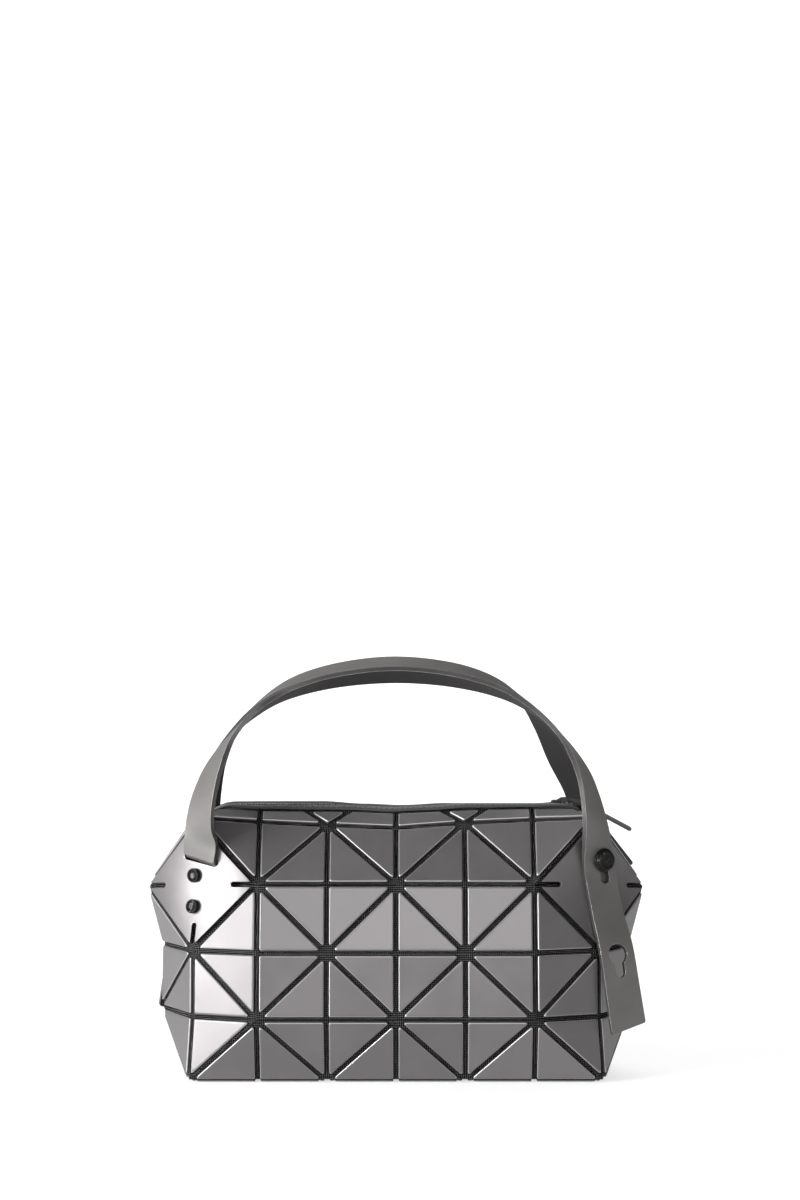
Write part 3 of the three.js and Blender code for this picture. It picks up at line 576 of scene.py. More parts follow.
def cloth_skin():
    """The cloth as a thin hollow shell, and the ids round its opening."""
    soup = Soup()
    for ids, pts, normal, _, _ in faces:
        right = Vector((0, 0, 1)).cross(normal)
        right = right.normalized() if right.length > 0.2 else (pts[1] - pts[0]).normalized()
        up = normal.cross(right)
        uvs = [(p.dot(right), p.dot(up)) for p in pts]
        outer = soup.ring([points[i] - normals[i] * SUNK for i in ids])
        inner = soup.ring([points[i] - normals[i] * CLOTH for i in ids])
        soup.face(outer, uvs)
        soup.face(inner[::-1], uvs[::-1])
    loop = []
    for k in range(RING):
        loop.extend(("rim", k, step) for step in ((-1, 1) if k % 2 == 0 else (0,)))
    outer = soup.ring([points[i] - normals[i] * SUNK for i in loop])
    inner = soup.ring([points[i] - normals[i] * CLOTH for i in loop])
    soup.band(inner, outer)
    obj = soup.object("body_cloth", smooth=False)
    weld(obj, 0.02)
    return obj, loop


# Rounded edge of a tile: inset from its outline, height over the pattern
TILE_PROFILE = ((0.0, -0.65), (0.0, 0.55), (0.1, 0.84), (0.38, TILE), (0.9, TILE + 0.02))
TILE_CORNER = 0.9


def body_tiles():
    """All tiles: walls down into the cloth in near-black painted shade, and a painted highlight on
    the bevel rings.
    """
    soup = Soup()
    tones = []
    edge_highlight_values = []
    for _, pts, normal, tiled, last in faces:
        if not tiled:
            continue
        right = (pts[1] - pts[0]).normalized()
        up = normal.cross(right)

        def uv_of(p, right=right, up=up):
            return (p.dot(right), p.dot(up))

        tone = rng.uniform(-0.5, 0.5)
        rings = []
        for inset, lift in TILE_PROFILE:
            insets = [GAP / 2 + inset] * (len(pts) - 1) + [last + inset]
            outline = rounded(inset_outline(pts, insets), TILE_CORNER)
            rings.append(soup.ring([p + normal * lift for p in outline]))
            # The bevel rings between wall and top are marked for the painted highlight.
            edge_highlight_values.extend([0.9 if 0 < lift < TILE else 0.0] * len(outline))
        for level, (low, high) in enumerate(zip(rings, rings[1:])):
            # The lowest band of the wall, down into the cloth, takes slot 1: painted shade.
            soup.band(low, high, uv_of, 0 if level else 1)
        soup.face(rings[-1], [uv_of(soup.verts[v]) for v in rings[-1]])
        tones.extend([tone] * (len(soup.verts) - len(tones)))
    obj = soup.object("body_tiles")
    for word, values in (("tone", tones), ("painted_edge_highlight", edge_highlight_values)):
        layer = obj.data.attributes.new(word, "FLOAT", "POINT")
        layer.data.foreach_set("value", values)
    weight_normals(obj)
    return obj


cloth, rim_loop = cloth_skin()
put(cloth, CLOTH_MAT, "cloth", "bag", "body_shell")
put(body_tiles(), (TILE_MAT, PAINTED_SHADE_MAT), "tile", "bag", "body_shell")


# Cut sheets: an outline with holes in the plane, filled with points and laid on a surface

def inside(p, loop):
    hit = False
    for a, b in zip(loop, loop[1:] + loop[:1]):
        if (a.y > p.y) != (b.y > p.y) and p.x < (b.x - a.x) * (p.y - a.y) / (b.y - a.y) + a.x:
            hit = not hit
    return hit


def gap_to(p, loop):
    best = 1e9
    for a, b in zip(loop, loop[1:] + loop[:1]):
        along = b - a
        t = max(0.0, min(1.0, (p - a).dot(along) / max(along.length_squared, 1e-9)))
        best = min(best, (p - a - along * t).length)
    return best


def spaced(loop, step):
    """The loop with no side longer than step."""
    out = []
    for a, b in zip(loop, loop[1:] + loop[:1]):
        parts = max(1, math.ceil((b - a).length / step))
        out.extend(a.lerp(b, i / parts) for i in range(parts))
    return out


def on_sheet(p, outline, holes):
    return inside(p, outline) and not any(inside(p, hole) for hole in holes)


def grid_points(outline, holes, grid):
    """Staggered points on the sheet, clear of its edges."""
    xs = [p.x for p in outline]
    ys = [p.y for p in outline]
    out = []
    y = min(ys) + grid[1] / 2
    odd = False
    while y < max(ys):
        x = min(xs) + (grid[0] / 2 if odd else grid[0])
        while x < max(xs):
            p = Vector((x, y))
            if on_sheet(p, outline, holes):
                if min(gap_to(p, loop) for loop in [outline] + holes) > 0.45 * min(grid):
                    out.append(p)
            x += grid[0]
        y += grid[1]
        odd = not odd
    return out


def filled(outline, holes, grid):
    """Points and triangles of the flat sheet."""
    flat = []
    edges = []
    for loop in [outline] + holes:
        start, count = len(flat), len(loop)
        edges.extend((start + i, start + (i + 1) % count) for i in range(count))
        flat.extend(loop)
    flat.extend(grid_points(outline, holes, grid))
    pts, _, tris, _, _, _ = geometry.delaunay_2d_cdt(flat, edges, [], 0, 1e-5)
    kept = []
    for tri in tris:
        middle = sum((pts[i] for i in tri), Vector((0, 0))) / len(tri)
        if on_sheet(middle, outline, holes):
            kept.append(tri)
    used = sorted({i for tri in kept for i in tri})
    index = {v: i for i, v in enumerate(used)}
    return [pts[v] for v in used], [[index[i] for i in tri] for tri in kept]


def open_edges(tris):
    """Edges that only one triangle has, in its direction."""
    out = {}
    for tri in tris:
        for i in range(3):
            a, b = tri[i], tri[(i + 1) % 3]
            if (b, a) in out:
                del out[(b, a)]
            else:
                out[(a, b)] = True
    return list(out)


def cut_sheet(name, outline, holes, lay, thick, grid, side_slot):
    """A sheet with slot 0 on its outer face, 1 on its inner face and side_slot on its sides.

    lay turns a flat point into (point on the outer face, outward normal)."""
    flat, top = filled(outline, holes, grid)
    laid = [lay(p) for p in flat]
    verts = [p for p, _ in laid] + [p - n * thick for p, n in laid]
    a, b, c = (verts[i] for i in top[0])
    if (b - a).cross(c - a).dot(laid[top[0][0]][1]) < 0:
        top = [tri[::-1] for tri in top]
    count = len(flat)
    under = [[i + count for i in tri[::-1]] for tri in top]
    sides = [[j, i, i + count, j + count] for i, j in open_edges(top)]
    polys = top + under + sides
    slots = [0] * len(top) + [1] * len(under) + [side_slot] * len(sides)
    uv = [tuple(p) for p in flat] * 2
    return make_object(name, verts, polys, [uv[v] for poly in polys for v in poly], slots)


def arc(middle, radius, start, end, steps, x_axis=Vector((1, 0)), y_axis=Vector((0, 1))):
    out = []
    for i in range(steps + 1):
        t = start + (end - start) * i / steps
        out.append(middle + x_axis * (radius * math.cos(t)) + y_axis * (radius * math.sin(t)))
    return out


def hole_at(middle, radius, steps=16):
    return arc(middle, radius, 0, 2 * math.pi * (1 - 1 / steps), steps - 1)


# Corner panels, drawn on the patch between their tips: x and y run from the top tip

SLIT_LIP = 1.2  # rounding where a slit meets the edge
SLOT_HALF = 10.6
SLOT_RADIUS = STRAP_THICK * 0.95
STUD_HOLE = 1.8
BUTTON_HOLE = 2.3
EDGE_STEP = 1.6  # longest side of an outline
PANEL_GRID = (2.6, 2.6)
STRAP_GRID = (3.2, 2.8)


def side_length(side):
    tips = panel_tips(side)
    return ((tips[0] - tips[1]).length + (tips[0] - tips[2]).length) / 2


def panel_outline(length):
    """Square whose four tips are cut by round-ended slits towards its middle."""
    low, high = GAP / 2, length - GAP / 2
    corners = [Vector((low, low)), Vector((high, low)), Vector((high, high)), Vector((low, high))]
    tips = [Vector((0, 0)), Vector((length, 0)), Vector((length, length)), Vector((0, length))]
    centre = Vector((length / 2, length / 2))
    half = SLIT_WIDTH / 2
    out = []
    for i, (corner, tip) in enumerate(zip(corners, tips)):
        inward = (centre - tip).normalized()
        across = Vector((-inward.y, inward.x))
        before = (corners[i - 1] - corner).normalized()
        ahead = (corners[(i + 1) % 4] - corner).normalized()
        side = 1 if across.dot(before) > 0 else -1
        lips = []
        for along in (before, ahead):
            shoulder = corner + along * (half * math.sqrt(2))
            start, end = shoulder + along * SLIT_LIP, shoulder + inward * SLIT_LIP
            lips.append(bend(start, shoulder, end, 4))
        seat = tip + inward * (SLIT_LENGTH - half)
        out += lips[0] + arc(seat, half, 0, math.pi, 12, across * side, inward) + lips[1][::-1]
    return out


def slot_hole(centre):
    level = Vector((1, -1)).normalized()
    above = Vector((-1, -1)).normalized()
    c, s = math.cos(SLOT_TURN), math.sin(SLOT_TURN)
    right = level * c - above * s
    up = above * c + level * s
    shift = right * (SLOT_HALF - SLOT_RADIUS)
    out = arc(centre + shift, SLOT_RADIUS, -math.pi / 2, math.pi / 2, 10, right, up)
    out += arc(centre - shift, SLOT_RADIUS, math.pi / 2, 1.5 * math.pi, 10, right, up)
    return spaced(out, 2.0)


def panel_piece(name, side, fixed, back, node):
    """A fixed panel has the slot and stud holes of a strap's end, the others a button hole."""
    length = side_length(side)

    def lay(p):
        a, b = p.x / length, p.y / length
        point, normal, _, _ = panel_frame(side, (a + b) / 2, a - b)
        out = point + normal * (CLEAR + PANEL)
        return (turned(out), turned(normal)) if back else (out, normal)

    def spot(down, aside, up=0.0):
        rise = up / length / math.sqrt(2)
        return Vector(((down + aside / 2 - rise) * length, (down - aside / 2 - rise) * length))

    if fixed:
        holes = [slot_hole(spot(SLOT_DOWN, SLOT_ASIDE, STRAP_THICK * 0.4))]
        holes += [hole_at(spot(down, STUD_ASIDE), STUD_HOLE) for down in STUD_PLACES]
    else:
        holes = [hole_at(spot(*BUTTON_PLACE), BUTTON_HOLE)]
    outline = spaced(panel_outline(length), EDGE_STEP)
    # Slot 1, the near-black painted shade, goes on the panel's inner face and sides.
    obj = cut_sheet(name, outline, holes, lay, PANEL, PANEL_GRID, 1)
    bevel(obj, 0.28).material = 0
    return put(obj, (TILE_MAT, PAINTED_SHADE_MAT), "tile", "bag", node)


for piece, side, fixed, back in (("front_left", -1, True, False), ("front_right", 1, False, False),
                                 ("back_right", -1, True, True), ("back_left", 1, False, True)):
    panel_piece("panel_" + piece, side, fixed, back, "corner_panel_" + piece)


# Straps

PANEL_FACE = CLEAR + PANEL
STRAP_LIFT = PANEL_FACE + CLEAR + STRAP_THICK / 2
BACK_LEAN = 0.09  # the back strap's first leg leans in by this share, from this height on
LEAN_START = 0.3
END_SLANT = 3.2  # of the free end
STRAP_CORNER = 1.2
UNDER_ARCH = Vector((0, 0, 90))
LINE_STEPS = 12  # between two stations
SLOT_STATIONS = 3  # before those of STRAP_PATH
# Stations of STRAP_PATH where the leaning leg is turned more than in its solid, in degrees
LEAN_TURNS = {1: 3, 2: 7, 3: 11, 4: 8, 5: 2}


def corner_at(z):
    """Point, normal and forward at a height: on the right panel, and under it down the corner."""
    tips = panel_tips(1)
    if z >= tips[3].z:
        point, normal, _, forward = panel_frame(1, (tips[0].z - z) / (tips[0].z - tips[3].z))
        return point, normal, forward
    low = row_point(COLUMNS, 3)
    share = (tips[3].z - z) / (tips[3].z - low.z)
    flat = panel_frame(1, 1)[1]
    normal = Vector((flat.x, flat.y, 0)).normalized()
    return tips[3].lerp(low, share), normal, Vector((normal.y, -normal.x, 0))


def strap_stations(arch, lean):
    """(middle, width direction or None, roll) from the slot over the arch to the free end."""
    slot = slot_frame(-1)
    above = slot_frame(-1, SLOT_DOWN / 2, SLOT_ASIDE + SLOT_DRIFT)
    out = [
        (slot[0] - slot[1] * CLEAR, slot[3], 0),
        (slot[0] + slot[2] * STRAP_THICK + slot[1] * STRAP_LIFT, slot[3], 0),
        (above[0] + above[1] * (STRAP_LIFT + STRAP_THICK / 3), above[3], 0),
    ]
    rise = arch - FOOT_HEIGHT
    for along, bow, up, roll in STRAP_PATH:
        over = max(0.0, up - LEAN_START) / (1 - LEAN_START)
        reach = LEG_REACH * (1 - lean * math.sin(math.pi * over) if along < 0 else 1)
        at = Vector((along * reach, -bow * STRAP_OUT, FOOT_HEIGHT + up * rise))
        out.append((at, None, roll))
    button = panel_frame(1, *BUTTON_PLACE)[0]
    for down, aside, stand, swing in TAIL_PATH:
        point, normal, forward = corner_at(button.z + (TAIL_HEIGHT - button.z) * down)
        lift = STRAP_LIFT + stand * STRAP_THICK
        front_edge = point + normal * lift + forward * ((0.5 - aside) * STRAP_WIDTH)
        width = Matrix.Rotation(-math.radians(swing), 3, "Z") @ forward
        out.append((front_edge - width * (STRAP_WIDTH / 2), width, 0))
    return out


def strap_frames(arch, lean):
    """(middle, across) at each station; where the leaning leg is turned more, one edge stays."""
    stations = strap_stations(arch, lean)
    out = []
    for i, (at, width, roll) in enumerate(stations):
        before = stations[max(0, i - 1)][0]
        after = stations[min(len(stations) - 1, i + 1)][0]
        first = (at - before).normalized() if i else Vector()
        second = (after - at).normalized() if i < len(stations) - 1 else Vector()
        along = (first + second).normalized()
        if width is not None:
            across = (width - along * width.dot(along)).normalized()
        else:
            front = Vector((0, -1, 0))
            front = (front - along * front.dot(along)).normalized()
            outward = front.cross(along).normalized()
            turn = math.radians(roll)
            across = front * math.cos(turn) + outward * math.sin(turn)
            if lean and i - SLOT_STATIONS in LEAN_TURNS:
                turn -= math.radians(LEAN_TURNS[i - SLOT_STATIONS])
                twisted = front * math.cos(turn) + outward * math.sin(turn)
                at = at + (across - twisted) * (STRAP_WIDTH / 2)
                across = twisted
        out.append((at, across))
    return out


def smooth_between(a, b, c, d, t):
    """Cubic from b to c as t goes from 0 to 1."""
    return (b * 2 + (c - a) * t + (a * 2 - b * 5 + c * 4 - d) * t ** 2
            + (b * 3 - a - c * 3 + d) * t ** 3) * 0.5


class StrapLine:
    """The strap's middle line, with the direction of its width, by length from the slot."""

    def __init__(self, arch, lean):
        frames = strap_frames(arch, lean)
        last = len(frames) - 1
        self.path = []
        for i in range(last):
            picks = [frames[max(0, min(last, i + j))] for j in (-1, 0, 1, 2)]
            if i == 1:
                picks[0] = (picks[1][0] * 2 - picks[2][0], picks[1][1])
            middles, widths = zip(*picks)
            for s in range(LINE_STEPS):
                t = s / LINE_STEPS
                at = smooth_between(*middles, t) if i else middles[1].lerp(middles[2], t)
                self.path.append((at, smooth_between(*widths, t)))
        self.path.append(frames[-1])
        self.lengths = [0.0]
        for (a, _), (b, _) in zip(self.path, self.path[1:]):
            self.lengths.append(self.lengths[-1] + (b - a).length)
        self.total = self.lengths[-1]

    def place(self, s):
        """(middle, across, through the thickness) at a length."""
        path, lengths = self.path, self.lengths
        s = max(0.0, min(self.total - 1e-6, s))
        i = next(j for j in range(len(lengths) - 1) if lengths[j + 1] > s)
        t = (s - lengths[i]) / (lengths[i + 1] - lengths[i])
        i0, i3 = max(0, i - 1), min(len(path) - 1, i + 2)
        at = smooth_between(path[i0][0], path[i][0], path[i + 1][0], path[i3][0], t)
        across = path[i][1].lerp(path[i + 1][1], t)
        near = (path[i + 1][0] - path[i][0]).normalized()
        along = (path[i3][0] - path[i0][0]).normalized() * 0.5 + near * 0.5
        across = (across - along * across.dot(along) / along.length_squared).normalized()
        return at, across, across.cross(along).normalized()

    def length_at(self, miss, start=0):
        """Length at the point where miss is least."""
        best = min(range(start, len(self.path)), key=lambda j: miss(self.path[j][0]))
        return self.lengths[best]


def strap_outline(total):
    w = STRAP_WIDTH / 2
    r = STRAP_CORNER
    out = [Vector((-w, 0)), Vector((w, 0)), Vector((w, total - r))]
    out += arc(Vector((w - r, total - r)), r, 0.1, math.pi / 2, 4)
    out += arc(Vector((r - w, total - r - END_SLANT)), r, math.pi / 2, math.pi - 0.1, 4)
    out.append(Vector((-w, total - r - END_SLANT)))
    return spaced(out, EDGE_STEP)


def keyhole(centre):
    big, slim = KEY_WIDE / 2, KEY_SLIM / 2
    meet = math.asin(slim / big)
    lobe = arc(centre, big, math.pi / 2 + meet, 2.5 * math.pi - meet, 30)
    neck = arc(centre + Vector((0, KEY_DROP)), slim, 0, math.pi, 14)
    return spaced(lobe + neck, 1.2)


def strap_piece(name, arch, lean, back, node):
    line = StrapLine(arch, lean)

    def lay(p):
        at, across, through = line.place(p.y)
        if through.dot(at - UNDER_ARCH) < 0:
            through.negate()
        out = at + across * p.x + through * (STRAP_THICK / 2)
        return (turned(out), turned(through)) if back else (out, through)

    button, normal, _, _ = panel_frame(1, *BUTTON_PLACE)
    seat = button + normal * STRAP_LIFT
    first = line.length_at(lambda p: (p - seat).length)
    spare = corner_at(button.z - KEY_STEP)[0]
    second = line.length_at(lambda p: abs(p.z - spare.z), len(line.path) // 2)
    middle, across, _ = line.place(first)
    aside = (button - middle).dot(across)
    holes = [keyhole(Vector((aside, first))), keyhole(Vector((0.0, second)))]
    # Slot 1, the near-black painted shade, goes on the strap's inner face.
    obj = cut_sheet(name, strap_outline(line.total), holes, lay, STRAP_THICK, STRAP_GRID, 2)
    # The bevels take slot 3, the painted highlight along the strap's edges.
    bevel(obj, 0.5, 3).material = 3
    return put(obj, (STRAP_MAT, PAINTED_SHADE_MAT, STRAP_EDGE_MAT, STRAP_HIGHLIGHT_MAT), "strap", "bag", node)


strap_piece("strap_front_satin", ARCH_HEIGHT, 0.0, False, "strap_front")
strap_piece("strap_back_satin", ARCH_HEIGHT + BACK_RISE, BACK_LEAN, True, "strap_back")


# Binding with its stitches, and the zip

RIM_STEPS = 1200
BIND_OUT = 2 * CLEAR
BIND_SKIN = 1.0
BIND_IN = CLOTH + CLEAR
# Section of the folded binding: out from the cloth's face, up from its edge
BIND_SECTION = (
    (BIND_OUT + BIND_SKIN * 0.6, -1.6), (BIND_OUT + BIND_SKIN, -1.0), (BIND_OUT + BIND_SKIN, 0.2),
    (BIND_OUT + BIND_SKIN * 0.75, 1.05), (BIND_OUT * 0.4, 1.5), (-BIND_IN * 0.5, 1.62),
    (-BIND_IN - BIND_SKIN * 0.4, 1.5), (-BIND_IN - BIND_SKIN, 0.9), (-BIND_IN - BIND_SKIN, -1.0),
    (-BIND_IN - BIND_SKIN * 0.6, -1.6), (-BIND_IN, -1.5), (-BIND_IN, 0.4), (BIND_OUT, 0.4),
    (BIND_OUT, -1.5),
)
STITCH_PITCH = 2.7
STITCH_HALF = 0.95
STITCH_DOWN = 0.35
STITCH_WIDE = 0.26
STITCH_TALL = 0.2
STITCH_SUNK = 0.05
# Share of the stitch's half length, share of its thickness
STITCH_SHAPE = ((-1.0, 0.12), (-0.82, 0.62), (-0.4, 0.95), (0.0, 1.0), (0.4, 0.95), (0.82, 0.62),
                (1.0, 0.12))


def rim_path(step):
    """Points round the opening, about a step apart, with the cloth's outward direction there."""
    edge = [mouth_edge(-MOUTH_REACH + 2 * MOUTH_REACH * i / RIM_STEPS)
            for i in range(RIM_STEPS + 1)]
    edge += [turned(p) for p in edge[1:-1]]
    keys = []
    for key in rim_loop:
        p = points[key]
        keys.append((min(range(len(edge)), key=lambda i: (edge[i] - p).length), normals[key]))
    keys.sort(key=lambda item: item[0])
    out = []
    last = None
    for i, p in enumerate(edge):
        if last is not None and (p - last).length < step:
            continue
        last = p
        before = [item for item in keys if item[0] <= i] or [keys[-1]]
        after = [item for item in keys if item[0] > i] or [keys[0]]
        a, b = before[-1], after[0]
        span = (b[0] - a[0]) % len(edge) or 1
        t = ((i - a[0]) % len(edge)) / span
        out.append((p, a[1].lerp(b[1], t).normalized()))
    return out


def sweep_frames(path):
    """(point, outward, upward, along) at each point of a closed path."""
    out = []
    for i, (p, normal) in enumerate(path):
        along = (path[(i + 1) % len(path)][0] - path[i - 1][0]).normalized()
        outward = (normal - along * normal.dot(along)).normalized()
        upward = along.cross(outward).normalized()
        out.append((p, outward, upward if upward.z > 0 else -upward, along))
    return out


def binding_piece():
    frames = sweep_frames(rim_path(1.6))
    soup = Soup()
    rings = [soup.ring([p + outward * a + upward * b for a, b in BIND_SECTION])
             for p, outward, upward, _ in frames]
    count = len(BIND_SECTION)
    run = 0.0
    for i, ring in enumerate(rings):
        after = rings[(i + 1) % len(rings)]
        length = (frames[(i + 1) % len(rings)][0] - frames[i][0]).length
        around = 0.0
        for j in range(count):
            k = (j + 1) % count
            side = math.dist(BIND_SECTION[j], BIND_SECTION[k])
            uvs = [(run, around), (run, around + side),
                   (run + length, around + side), (run + length, around)]
            soup.face([ring[j], ring[k], after[k], after[j]], uvs)
            around += side
        run += length
    obj = soup.object("opening_binding_cloth")
    weld(obj)
    return obj


def stitch_piece():
    """Slightly sunk thread stitches along the binding's outer face."""
    frames = sweep_frames(rim_path(0.4))
    soup = Soup()
    run = 0.0
    due = 0.0
    for i, (p, outward, upward, along) in enumerate(frames):
        if i:
            run += (p - frames[i - 1][0]).length
        if run < due:
            continue
        due += STITCH_PITCH
        centre = p + outward * (BIND_OUT + BIND_SKIN) - upward * STITCH_DOWN
        lean = (along + upward * 0.12).normalized()
        side = outward.cross(lean).normalized()
        rings = []
        for t, fat in STITCH_SHAPE:
            middle = centre + lean * (STITCH_HALF * t)
            ring = []
            for a in (2 * math.pi * j / 8 for j in range(8)):
                over = STITCH_TALL * fat * math.sin(a) - STITCH_SUNK
                ring.append(middle + side * (STITCH_WIDE * fat * math.cos(a)) + outward * over)
            rings.append(soup.ring(ring))
        soup.tube(rings, lambda v: (v.x, v.z))
    obj = soup.object("binding_stitches")
    weld(obj)
    return obj


put(binding_piece(), BIND_MAT, "cloth", "bag", "opening_binding")
put(stitch_piece(), THREAD_MAT, "cloth", "bag")


def chain_sag(x):
    return (rim_sag(x) + rim_sag(-x)) / 2


def chain_top(x):
    return mouth_height(x) + CHAIN_RISE + chain_sag(x)


CHAIN_REACH = MOUTH_REACH - CLOTH - BIND_SKIN - 3 * CLEAR - 1.2
TAPE_REACH = CHAIN_REACH - 1.2
TAPE_THICK = 0.8
TAPE_INNER = -2.75
CORE_DOWN = 0.75  # top of the core under that of the teeth
CORE_SECTION = ((-1.5, 0.0), (1.5, 0.0), (2.3, -0.8), (-2.3, -0.8))
TOOTH_PITCH = 1.5
TOOTH_REACH = 2.45
# Levels of a tooth: half its width, height from its top, share of its length
TOOTH_SHAPE = ((0.56, -1.2, 1.0), (0.56, -0.25, 1.0), (0.34, 0.0, 0.9))


def tape_piece(name, back, node):
    soup = Soup()
    rings = []
    steps = 120
    for i in range(steps + 1):
        x = TAPE_REACH * (2 * i / steps - 1)
        top = chain_top(x) - 0.4
        share = mouth_share(x)
        slack = (1 + share) * (CLOTH + BIND_SKIN + 3 * CLEAR)
        outer = -(MOUTH_HALF * math.sqrt(max(0.0, 1 - share ** 4)) - slack)
        outer = min(outer, TAPE_INNER - 0.8)
        middle = (outer + TAPE_INNER) / 2
        sag = min(0.5, (TAPE_INNER - outer) * 0.12)
        tilt = rim_sag(x) - chain_sag(x)
        line = [(outer, tilt), (middle, tilt / 2 - sag), (TAPE_INNER, 0),
                (TAPE_INNER, -TAPE_THICK), (middle, tilt / 2 - TAPE_THICK - sag * 0.2),
                (outer, tilt - TAPE_THICK)]
        rings.append(soup.ring([Vector((x, y, top + z)) for y, z in line]))
    soup.tube(rings, lambda v: (v.x, v.y))
    obj = soup.object(name)
    weld(obj)
    if back:
        for v in obj.data.vertices:
            v.co = turned(v.co)
    bevel(obj, 0.15)
    return put(obj, TAPE_MAT, "cloth", "bag", node)


tape_piece("tape_front_weave", False, "zip_tape_front")
tape_piece("tape_back_weave", True, "zip_tape_back")


def teeth_piece():
    """Interlocked moulded teeth, alternately from each side, on a low core."""
    soup = Soup()
    core = []
    steps = 90
    for i in range(steps + 1):
        x = CHAIN_REACH * (2 * i / steps - 1)
        top = chain_top(x) - CORE_DOWN
        core.append(soup.ring([Vector((x, y, top + z)) for y, z in CORE_SECTION]))
    soup.tube(core)
    for i in range(int(2 * CHAIN_REACH / TOOTH_PITCH)):
        x = -CHAIN_REACH + (i + 0.5) * TOOTH_PITCH
        top = chain_top(x)
        way = 1 if i % 2 else -1
        levels = []
        for wide, height, share in TOOTH_SHAPE:
            corners = []
            tip = way * TOOTH_REACH
            for sx, y in ((-1, -way), (1, -way), (1, tip), (-1, tip)):
                half = wide if y * way > 0 else wide * 0.8
                corners.append(Vector((x + sx * half, y * share, top + height)))
            levels.append(soup.ring(corners))
        soup.tube(levels)
    obj = soup.object("zip_teeth", smooth=False)
    weld(obj, 0)
    bevel(obj, 0.12)
    return put(obj, METAL_MAT, "metal", "bag", "zip_chain")


teeth_piece()
for node in ("zip_slider_1", "zip_slider_2", "zip_pull_1", "zip_pull_2"):
    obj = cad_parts[node]
    obj.data.materials.clear()
    obj.data.materials.append(METAL_MAT)
    bevel(obj, 0.22 if "slider" in node else 0.42, 3, 40)


# Studs, turned on a lathe: radius, height over what the head sits on

STUD_HEAD = ((3.4, 0.0), (3.6, 0.3), (3.6, 1.5), (3.45, 1.95), (3.15, 2.2), (2.85, 2.15),
             (2.65, 1.85), (2.5, 1.5), (1.2, 1.4), (0.0, 1.38))
BUTTON_HEAD = ((5.7, 0.0), (6.0, 0.3), (6.0, 0.9), (5.6, 1.2), (5.0, 1.25), (5.0, 2.7), (4.7, 3.2),
               (4.1, 3.4), (3.8, 3.3), (3.6, 3.1), (2.0, 3.15), (0.0, 3.2))
STUD_SHAFT = 1.5
BUTTON_SHAFT = 2.0
STUD_SEAT = PANEL_FACE + CLEAR
BUTTON_SEAT = STRAP_LIFT + STRAP_THICK / 2 + 2 * CLEAR
LATHE_STEPS = 56
LEAST_RADIUS = 0.02


def lathe_piece(node, shaft, seat, head, place, back):
    """place is (side, down, aside) on a corner panel."""
    point, normal, upward, _ = panel_frame(*place)
    across = normal.cross(upward).normalized()
    profile = [(0.0, CLEAR), (shaft, CLEAR), (shaft, seat)] + [(r, seat + h) for r, h in head]
    angles = [2 * math.pi * j / LATHE_STEPS for j in range(LATHE_STEPS)]
    soup = Soup()
    rings = []
    for radius, height in profile:
        middle, r = point + normal * height, max(radius, LEAST_RADIUS)
        ring = [middle + (across * math.cos(a) + upward * math.sin(a)) * r for a in angles]
        rings.append(soup.ring([turned(p) for p in ring] if back else ring))
    soup.tube(rings)
    obj = soup.object(node + "_dome")
    weld(obj)
    weight_normals(obj)
    return put(obj, STUD_MAT, "metal", "bag", node)


BAG_SIDES = ((False, "front"), (True, "back"))
for number, down in enumerate(STUD_PLACES, 1):
    for back, word in BAG_SIDES:
        lathe_piece(f"round_stud_{word}_{number}", STUD_SHAFT, STUD_SEAT, STUD_HEAD,
                    (-1, down, STUD_ASIDE), back)
for back, word in BAG_SIDES:
    lathe_piece("button_stud_" + word, BUTTON_SHAFT, BUTTON_SEAT, BUTTON_HEAD,
                (1, *BUTTON_PLACE), back)


# Floor, light and camera

def floor_material():
    """Pale floor that glows a little, so that shadows on it stay faint."""
    mat, _, shader = new_material("studio_white")
    set_values(shader, Base_Color=grey(0.45), Roughness=0.6, Specular_IOR_Level=0.2,
               Emission_Color=grey(1.0), Emission_Strength=0.62)
    return mat


FLOOR_FRONT = -2500.0
FLOOR_BACK = 1400.0
FLOOR_SIDE = 4000.0
COVE = 700.0
WALL_TOP = 3600.0
CAMERA_PLACE = (0.002, -1.4, 0.21)
CAMERA_AIM = (0.002, 0.0, 0.2415)


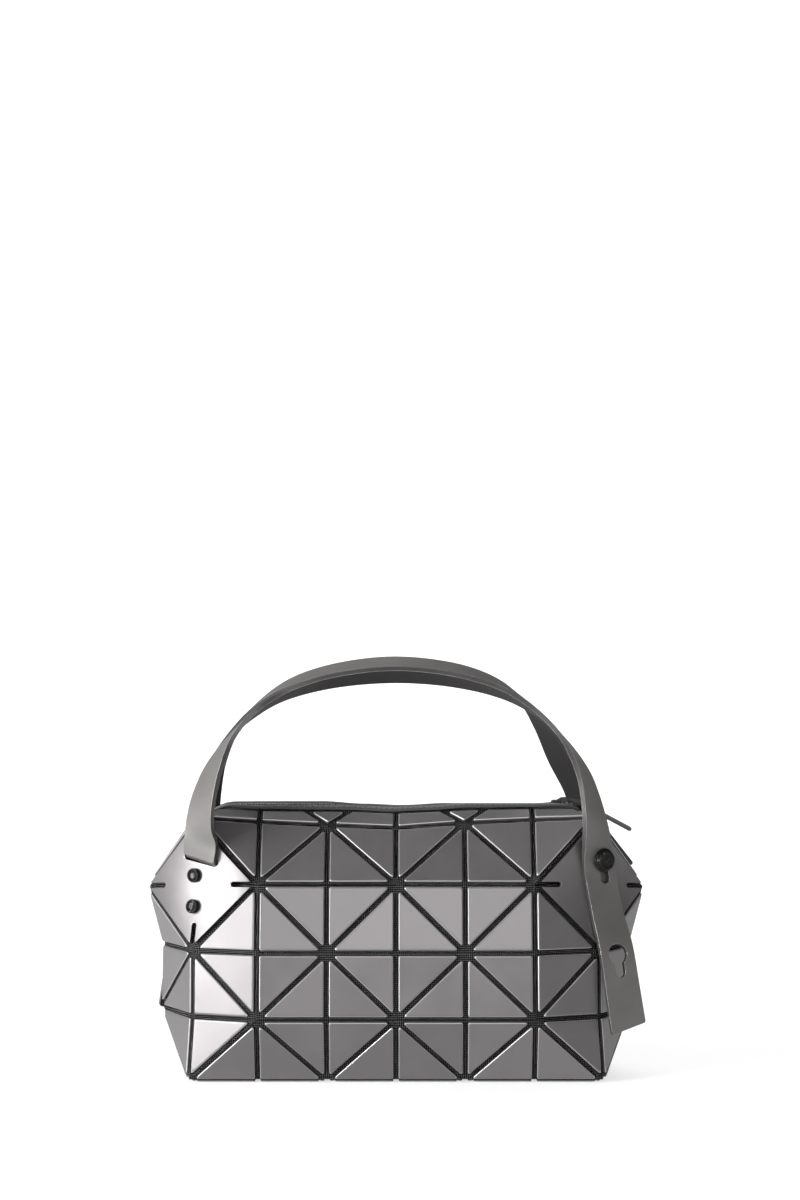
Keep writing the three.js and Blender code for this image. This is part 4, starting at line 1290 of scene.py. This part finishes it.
def backdrop():
    """A floor that curves up into a wall well behind the bag; gloss does not show the wall."""
    mat = floor_material()
    curve = [(FLOOR_BACK, 0.0)]
    for i in range(1, 13):
        t = i / 12 * math.pi / 2
        curve.append((FLOOR_BACK + COVE * math.sin(t), COVE * (1 - math.cos(t))))
    curve.append((FLOOR_BACK + COVE, WALL_TOP))
    floor = [(FLOOR_FRONT, 0.0), (FLOOR_BACK, 0.0)]
    for name, line in (("studio_floor", floor), ("studio_wall", curve)):
        soup = Soup()
        left = soup.ring([Vector((-FLOOR_SIDE, y, z - 0.05)) for y, z in line])
        right = soup.ring([Vector((FLOOR_SIDE, y, z - 0.05)) for y, z in line])
        soup.band(right, left, closed=False)
        obj = soup.object(name)
        obj.data.materials.append(mat)
        obj.visible_glossy = name == "studio_floor"


def stand_at(name, data, place, aim):
    """Puts a light or camera, which looks along its own -Z, at a place and aims it."""
    obj = bpy.data.objects.new(name, data)
    bpy.context.scene.collection.objects.link(obj)
    obj.location = place
    obj.rotation_euler = (Vector(aim) - Vector(place)).to_track_quat("-Z", "Y").to_euler()
    return obj


def area_light(name, place, aim, size, power):
    data = bpy.data.lights.new(name, "AREA")
    data.shape = "RECTANGLE"
    data.size, data.size_y = size
    data.energy = power
    stand_at(name, data, place, aim)


def studio_world():
    """Soft light from all round, brightest up to the horizon and fading upward."""
    world = bpy.data.worlds.new("studio")
    world.use_nodes = True
    tree = world.node_tree
    background = next(n for n in tree.nodes if n.type == "BACKGROUND")
    direction = add_node(tree, "TexCoord").outputs["Generated"]
    height = add_node(tree, "SeparateXYZ", Vector=direction).outputs["Z"]
    fade = ramp(tree, height, grey(1.0), grey(0.12), 0.1, 0.65)
    set_values(background, Color=fade, Strength=0.32)
    bpy.context.scene.world = world


def photo_camera():
    lens = bpy.data.cameras.new("photo_camera")
    lens.sensor_fit = "VERTICAL"
    lens.sensor_height = 36.0
    lens.lens = 81.8
    lens.clip_start = 0.05
    lens.clip_end = 20.0
    return stand_at("photo_camera", lens, CAMERA_PLACE, CAMERA_AIM)


backdrop()
area_light("key_left", (-1.5, -0.9, 0.55), (0, 0, 0.08), (1.1, 1.1), 60)
area_light("low_left", (-1.15, -0.62, 0.1), (0, 0, 0.05), (0.5, 0.3), 11)
area_light("front_soft", (0.2, -2.2, 0.9), (0, 0, 0.1), (1.6, 0.9), 22)
area_light("top_soft", (0.0, 0.3, 2.2), (0, 0, 0.05), (1.8, 1.6), 8)
area_light("wall_wash", (0.0, 0.9, 1.9), (0, 2.1, 0.8), (2.4, 0.5), 40)
studio_world()
bpy.context.scene.camera = photo_camera()
bpy.context.scene.view_settings.view_transform = "Standard"
